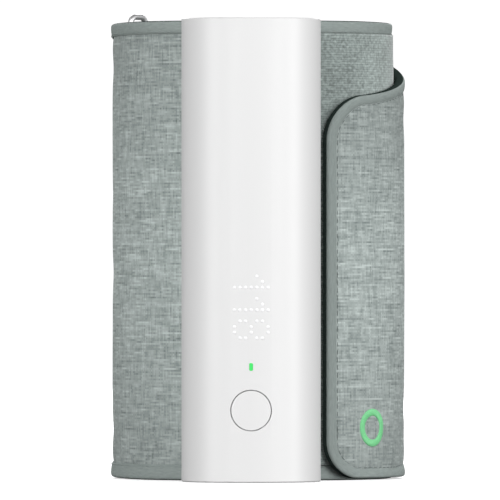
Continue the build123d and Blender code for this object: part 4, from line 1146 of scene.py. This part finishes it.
def strap_top(along):
    """Height of the padded strap over its inner face: the flap is thicker than the strap behind it."""
    return STRAP + FLAP_LOFT * fade(STRAP_LINE.angle_at(along), *LOFT_FADE)


@functools.cache
def strap_sheet():
    """Sheet of the strap's outer cloth inside its rim, blown out by its padding."""
    along = np.linspace(SHEET_START, SHEET_END, SHEET_ROWS)[:, None]
    low, high = inside_rim(along)
    return Padding(STRAP_LINE, along, low + (high - low) * np.linspace(0, 1, SHEET_COLUMNS))


def strap_height(along, heights):
    """Height of the strap's outer cloth over its inner face."""
    low, high = inside_rim(along)
    lift = strap_sheet().at((along - SHEET_START) / (SHEET_END - SHEET_START), (heights - low) / (high - low))
    seam = edge_distance(along, heights) - rim_width(along) + RIM_OVERLAP
    folds = near_seam(seam, STRAP_PUCKER_REACH) * wavy(along, heights, PUCKER_SIZE, STRAP_PUCKER_SEED)
    dips = sum(share * near_seam(seam, reach) for share, reach in (GROOVE, SLOPE))
    return strap_top(along) + lift + sizes().pucker * folds - sizes().crown * dips


def painted_rim_shade(along, heights):
    """Painted shade on the flap's cloth, from 1 along its upper rim to 0 further down and behind."""
    below = inside_rim(along)[1] - heights
    return (1 - ease(below / RIM_SHADE_REACH)) * fade(STRAP_LINE.angle_at(along), *RIM_SHADE_FADE)


class MONITOR_OT_strap(bpy.types.Operator):
    """Make the padded strap from the flap's tip back to the ring and round its leg"""
    bl_idname = "monitor.strap"
    bl_label = "Strap and flap"

    def execute(self, context):
        inset = 0.5 * RIM_WIDTH
        tip = inset + tip_places(TIP_STATIONS)
        run = np.linspace(tip[-1], FOLD_START, RUN_STATIONS)[1:]
        fold = np.linspace(FOLD_START, STRAP_LINE.length, FOLD_STATIONS)[1:]
        along = np.concatenate([tip, run, fold])[:, None]
        low, high = strap_low(along, inset), strap_high(along, inset)
        heights = low + (high - low) * crowded(STRAP_HEIGHTS, STRAP_CROWDING)
        strap = layer("strap_cloth", STRAP_LINE, along, heights, strap_height(along, heights), STRAP_BACK,
                      [melange(), edge_knit_and_shade()])
        # Painted shade along the flap's upper rim, stored for the cloth's material.
        rim_shade_values = strap.data.attributes.new("rim_shade", "FLOAT", "POINT")
        rim_shade_values.data.foreach_set("value", np.tile(painted_rim_shade(along, heights).ravel(), 2))
        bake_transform(strap)
        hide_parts("flap_panel", "strap_return", "strap_fold")
        return {"FINISHED"}


class MONITOR_OT_strap_rim(bpy.types.Operator):
    """Make the tape that binds the strap's outline, and its stitches"""
    bl_idname = "monitor.strap_rim"
    bl_label = "Strap rim"

    def execute(self, context):
        path = rim_path()
        along = path[:, 0]
        widths = rim_width(along)
        outside = strap_top(along) + sizes().tape_proud
        rings, cloth, inward = tape_along(STRAP_LINE, path, np.zeros(len(path)), outside, widths, RIM_SINK)
        # The rim's dark side starts one side later, which sets where its painted shade begins beside the
        # flap.
        rim = swept("strap_rim_tape", rings, cloth, [tape(), edge_knit_and_shade()], second_from=TAPE_LINED_FROM + 1)
        # Sewing thread lies in the shade of the groove that it pulls, so it is darker than the tape.
        thread = material_of("polyester_seam_thread", woven_tape, shade(colours().tape, 0.55))
        rows = stitches("strap_rim_stitches", STRAP_LINE, path, inward, widths[:, None] + THREAD_OFFSET,
                        outside - THREAD_DEPTH, thread, THREAD_FILLED)
        for piece in (rim, rows):
            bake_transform(piece)
        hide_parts("flap_binding", "return_binding")
        return {"FINISHED"}


SLEEVE_GAP = 0.1 * MM  # between the cuff's radius and the sleeve's tail
SLEEVE_SLACK = 0.25 * MM  # round the wire
SLEEVE_TURN = (50.0, -150.0)  # angles from the ring's leg between which the sleeve goes round it
SLEEVE_TAIL_START = 4.0
SLEEVE_POINTS = (12, 25, 60)  # along its tail, round the wire and up


class MONITOR_OT_ring_sleeve(bpy.types.Operator):
    """Make the cloth sleeve that holds the ring on the wing"""
    bl_idname = "monitor.ring_sleeve"
    bl_label = "Ring sleeve"

    def execute(self, context):
        low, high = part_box("ring_sleeve")
        along_tail, round_wire, up = SLEEVE_POINTS
        # From the tail's end inwards, round the wire and back out to the tail's end, seen from above.
        tail = compass(np.linspace(SLEEVE_TAIL, SLEEVE_LEG + SLEEVE_TAIL_START, along_tail))
        inner = CUFF_RADIUS + SLEEVE_GAP
        loop = compass(SLEEVE_LEG + np.linspace(*SLEEVE_TURN, round_wire))
        profile = np.concatenate([
            CUFF_CENTRE + (inner + 1.5 * SLEEVE_CLOTH) * tail[:-1],
            CUFF_CENTRE + LEG_RADIUS * compass(SLEEVE_LEG) + (RING_WIRE + SLEEVE_SLACK + SLEEVE_CLOTH) * loop,
            CUFF_CENTRE + inner * tail[-2::-1]])
        heights = np.linspace(low.z, high.z, up)[:, None]
        rings = np.stack(np.broadcast_arrays(*profile.T, heights), -1)
        cloth = np.stack(np.broadcast_arrays(travelled(profile), heights), -1)
        sleeve = swept("ring_sleeve_cloth", rings, cloth, [melange()])
        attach(sleeve, "monitor")
        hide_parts("ring_sleeve")
        return {"FINISHED"}


HOOK_ENDS = (36.0, 70.0)  # angles of the hook tape's ends
HOOK_TAPE = (0.1 * MM, 0.75 * MM)  # offsets of its faces out of the strap's inner face
HOOK_GRID = (24, 50)
HOOK_PITCH = 1.5 * MM  # drawn a little coarser than real hook tape, so that it shows
HOOK_HALF = 0.16 * MM
HOOK_BEND = ((0.0, 0.2), (0.0, 0.02), (0.28, -0.14), (0.5, -0.02))  # along and out, in mm


class MONITOR_OT_hook_pad(bpy.types.Operator):
    """Make the hook tape on the flap's inner face"""
    bl_idname = "monitor.hook_pad"
    bl_label = "Hook pad"

    def execute(self, context):
        low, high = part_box("hook_pad")
        start, end = (STRAP_LINE.along_at(angle) for angle in HOOK_ENDS)
        # Moulded nylon: grey, with a slight gleam on the back of each hook.
        nylon = material_of("nylon_hook_tape", moulded_plastic, linear("#8A9390"), 0.5, 1.53)
        pad = layer("hook_pad_tape", STRAP_LINE, np.linspace(start, end, HOOK_GRID[0])[:, None],
                    np.linspace(low.z, high.z, HOOK_GRID[1]), HOOK_TAPE[1], HOOK_TAPE[0], [nylon])
        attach(pad, "flap")
        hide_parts("hook_pad")
        rows = tubes("hook_rows", self.hooks(start, end, low.z, high.z), nylon)
        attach(rows, "flap")
        return {"FINISHED"}

    @staticmethod
    def hooks(start, end, low, high):
        """Points of rows of small hooks that stand in from the tape towards the pile."""
        along, heights = (np.arange(first + HOOK_PITCH, last - HOOK_PITCH / 2, HOOK_PITCH)
                          for first, last in ((start, end), (low, high)))
        along, heights = (grid.reshape(-1, 1, 1) for grid in np.meshgrid(along, heights, indexing="ij"))
        step, out = np.array(HOOK_BEND).T[:, :, None] * MM
        width, side = HOOK_HALF * np.array([[-0.5, 0.5, 0.5, -0.5], [-1, -1, 1, 1]])
        return STRAP_LINE.place(along + step + width, heights + side, out)


MARK_ANGLE = 51.6
MARK_HEIGHT = 17.6 * MM
MARK_RADIUS = 6.4 * MM
MARK_STROKE = 2.4 * MM
MARK_THREADS = 92
MARK_STATIONS = 6  # across each thread
MARK_SIDES = 11  # along each thread
MARK_SWELL = (0.3 * MM, 0.16 * MM)  # height of the padded stroke, and of a thread on it
MARK_DEPTH = 0.25 * MM  # its underside lies this far below the cloth


class MONITOR_OT_embroidery(bpy.types.Operator):
    """Make the satin-stitched ring on the flap"""
    bl_idname = "monitor.embroidery"
    bl_label = "Stitched ring"

    def execute(self, context):
        # The developed strap is shorter on its inner face than on the cloth that carries the stitches.
        stretch = CUFF_RADIUS / (CUFF_RADIUS + STRAP)
        step = np.arange(MARK_THREADS * MARK_STATIONS)[:, None]
        turned = math.tau * step / len(step)
        strand = np.abs(np.sin(math.pi * step / MARK_STATIONS))
        spread = np.linspace(1, -1, MARK_SIDES)
        swell = np.sqrt(1 - spread**2) * (MARK_SWELL[0] + MARK_SWELL[1] * strand)
        radius = MARK_RADIUS - MARK_STROKE / 2 + np.concatenate([spread, spread[::-1]]) * MARK_STROKE / 2
        lift = np.concatenate([swell, np.full_like(swell, -MARK_DEPTH)], axis=1)
        along = STRAP_LINE.along_at(MARK_ANGLE) + stretch * radius * np.cos(turned)
        height = MARK_HEIGHT + radius * np.sin(turned)
        rings = STRAP_LINE.place(along, height, strap_height(along, height) + lift)
        cloth = np.stack(np.broadcast_arrays(radius, turned * MARK_RADIUS), -1)
        thread = material_of("rayon_embroidery_thread", embroidery_thread, colours().embroidery)
        mark = swept("embroidered_ring_threads", rings, cloth, [thread], closed=True)
        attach(mark, "flap")
        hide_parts("embroidered_ring")
        return {"FINISHED"}


# ==== Stage ====
CAMERA_PLACE = (-0.366 * MM, -4023.3 * MM, 77.5 * MM)
CAMERA_LENS = 866.0  # millimetres, on a 36 mm sensor
CAMERA_RANGE = (0.1, 100.0)
LIGHT_AIM = Vector((0, 0.02, 0.08))
LIGHT_DISTANCE = 2.5
# Light boxes: name, azimuth from the front towards the right, elevation, width, height, power.
STUDIO_LIGHTS = (
    ("left_box", -66.0, 6.0, 0.9, 1.2, 21.8),
    ("front_left_box", -30.0, 6.0, 0.5, 1.2, 13.2),
    ("high_left_box", -15.0, 30.0, 0.5, 1.2, 14.5),
    ("front_right_box", 45.0, 6.0, 0.5, 1.2, 13.1),
    ("high_right_box", 33.0, 30.0, 0.6, 1.2, 17.5),
    ("right_box", 75.0, 6.0, 0.5, 1.2, 22.4),
    ("rear_box", 180.0, 25.0, 1.6, 1.2, 48.0),
)
WORLD_STRENGTH = 0.09
WHITE = (1, 1, 1, 1)
FLOOR_RADII = (0.05, 0.4, 1.5)  # rings of the floor before its curve
SWEEP_RADIUS = 9.0
SWEEP_CURVE = 2.5
SWEEP_CURVE_POINTS = 13
SWEEP_TOP = 7.0
SWEEP_SIDES = 96
FLOOR_GLOW = {"From Min": 0.4, "From Max": 2.0, "To Min": 0.55, "To Max": 0.97}  # from near to far


def backlit_acrylic(tree, colour):
    """White acrylic with its own glow: plain white, with a soft shade near the monitor."""
    place = add(tree, "TexCoord").outputs["Object"]
    away = add(tree, "VectorMath", {0: place}, operation="LENGTH").outputs["Value"]
    glow = add(tree, "MapRange", {"Value": away, **FLOOR_GLOW})
    return add(tree, "BsdfPrincipled",
               {"Base Color": opaque(colour), "Roughness": 0.8, "Emission Color": WHITE,
                "Emission Strength": glow})


class MONITOR_OT_stage(bpy.types.Operator):
    """Make the floor, the lights, the world and the camera"""
    bl_idname = "monitor.stage"
    bl_label = "Stage"

    def execute(self, context):
        self.make_sweep()
        for light in STUDIO_LIGHTS:
            self.make_light(*light)
        world = bpy.data.worlds.new("studio")
        world.use_nodes = True
        background = world.node_tree.nodes["Background"]
        background.inputs["Color"].default_value = WHITE
        background.inputs["Strength"].default_value = WORLD_STRENGTH
        context.scene.world = world
        camera_data = bpy.data.cameras.new("camera")
        camera_data.lens = CAMERA_LENS
        camera_data.clip_start, camera_data.clip_end = CAMERA_RANGE
        camera = bpy.data.objects.new("camera", camera_data)
        camera.location = CAMERA_PLACE
        camera.rotation_euler = (math.pi / 2, 0, 0)
        context.scene.collection.objects.link(camera)
        context.scene.camera = camera
        context.scene.view_settings.view_transform = "Standard"
        return {"FINISHED"}

    @staticmethod
    def make_sweep():
        """Round white sweep: a floor that curves up into a wall far behind every camera."""
        flat = SWEEP_RADIUS - SWEEP_CURVE
        curve = np.linspace(0, math.pi / 2, SWEEP_CURVE_POINTS)
        radii = np.array([*FLOOR_RADII, *(flat + SWEEP_CURVE * np.sin(curve)), SWEEP_RADIUS])[:, None]
        rise = SWEEP_CURVE * (1 - np.cos(curve))
        heights = np.array([*np.zeros(len(FLOOR_RADII)), *rise, SWEEP_TOP])[:, None]
        turned = -math.tau * np.arange(SWEEP_SIDES) / SWEEP_SIDES
        points = np.stack(np.broadcast_arrays(radii * np.cos(turned), radii * np.sin(turned), heights), -1)
        faces = grid_faces(len(radii), SWEEP_SIDES, wrap_columns=True)
        faces.append(tuple(range(SWEEP_SIDES)))
        acrylic = material_of("white_acrylic_sweep", backlit_acrylic, linear("#F4F4F4"))
        sweep = make_object("sweep", points.reshape(-1, 3), faces, materials=[acrylic])
        # The sweep shows white and takes shadows, but its light stays off the monitor.
        sweep.visible_diffuse = False
        sweep.visible_glossy = False
        sweep.visible_shadow = False

    @staticmethod
    def make_light(name, azimuth, elevation, width, height, power):
        """Soft upright light box that faces the monitor."""
        data = bpy.data.lights.new(name, "AREA")
        data.shape = "RECTANGLE"
        data.size = width
        data.size_y = height
        data.energy = power
        light = bpy.data.objects.new(name, data)
        flat = compass(azimuth) * math.cos(math.radians(elevation))
        toward = Vector((*flat, math.sin(math.radians(elevation))))
        light.location = LIGHT_AIM + LIGHT_DISTANCE * toward
        light.rotation_euler = (-toward).to_track_quat("-Z", "Y").to_euler()
        light.visible_camera = False
        bpy.context.scene.collection.objects.link(light)


# ==== Panel and registration ====
OPERATORS = (
    MONITOR_OT_housing,
    MONITOR_OT_inner_works,
    MONITOR_OT_display,
    MONITOR_OT_cuff_cover,
    MONITOR_OT_pile_panel,
    MONITOR_OT_linings,
    MONITOR_OT_edge_tape,
    MONITOR_OT_strap,
    MONITOR_OT_strap_rim,
    MONITOR_OT_ring_sleeve,
    MONITOR_OT_hook_pad,
    MONITOR_OT_embroidery,
    MONITOR_OT_stage,
)


class MONITOR_PT_panel(bpy.types.Panel):
    """Sidebar panel with the sizes, the colours and each step"""
    bl_idname = "MONITOR_PT_panel"
    bl_label = "Blood pressure monitor"
    bl_space_type = "VIEW_3D"
    bl_region_type = "UI"
    bl_category = "Monitor"

    def draw(self, context):
        for group in (context.scene.cloth_sizes, context.scene.monitor_colours):
            for name in group.__annotations__:
                self.layout.prop(group, name)
        for operator in OPERATORS:
            self.layout.operator(operator.bl_idname)


CLASSES = (ClothSizes, MonitorColours, *OPERATORS, MONITOR_PT_panel)


def register():
    """Register the classes and their properties."""
    for cls in CLASSES:
        bpy.utils.register_class(cls)
    bpy.types.Scene.cloth_sizes = bpy.props.PointerProperty(type=ClothSizes)
    bpy.types.Scene.monitor_colours = bpy.props.PointerProperty(type=MonitorColours)


def unregister():
    """Take the properties and classes away again."""
    del bpy.types.Scene.monitor_colours
    del bpy.types.Scene.cloth_sizes
    for cls in reversed(CLASSES):
        bpy.utils.unregister_class(cls)


def main():
    """Make every piece in order."""
    register()
    for operator in OPERATORS:
        group, name = operator.bl_idname.split(".")
        getattr(getattr(bpy.ops, group), name)()


if __name__ == "__main__":
    main()
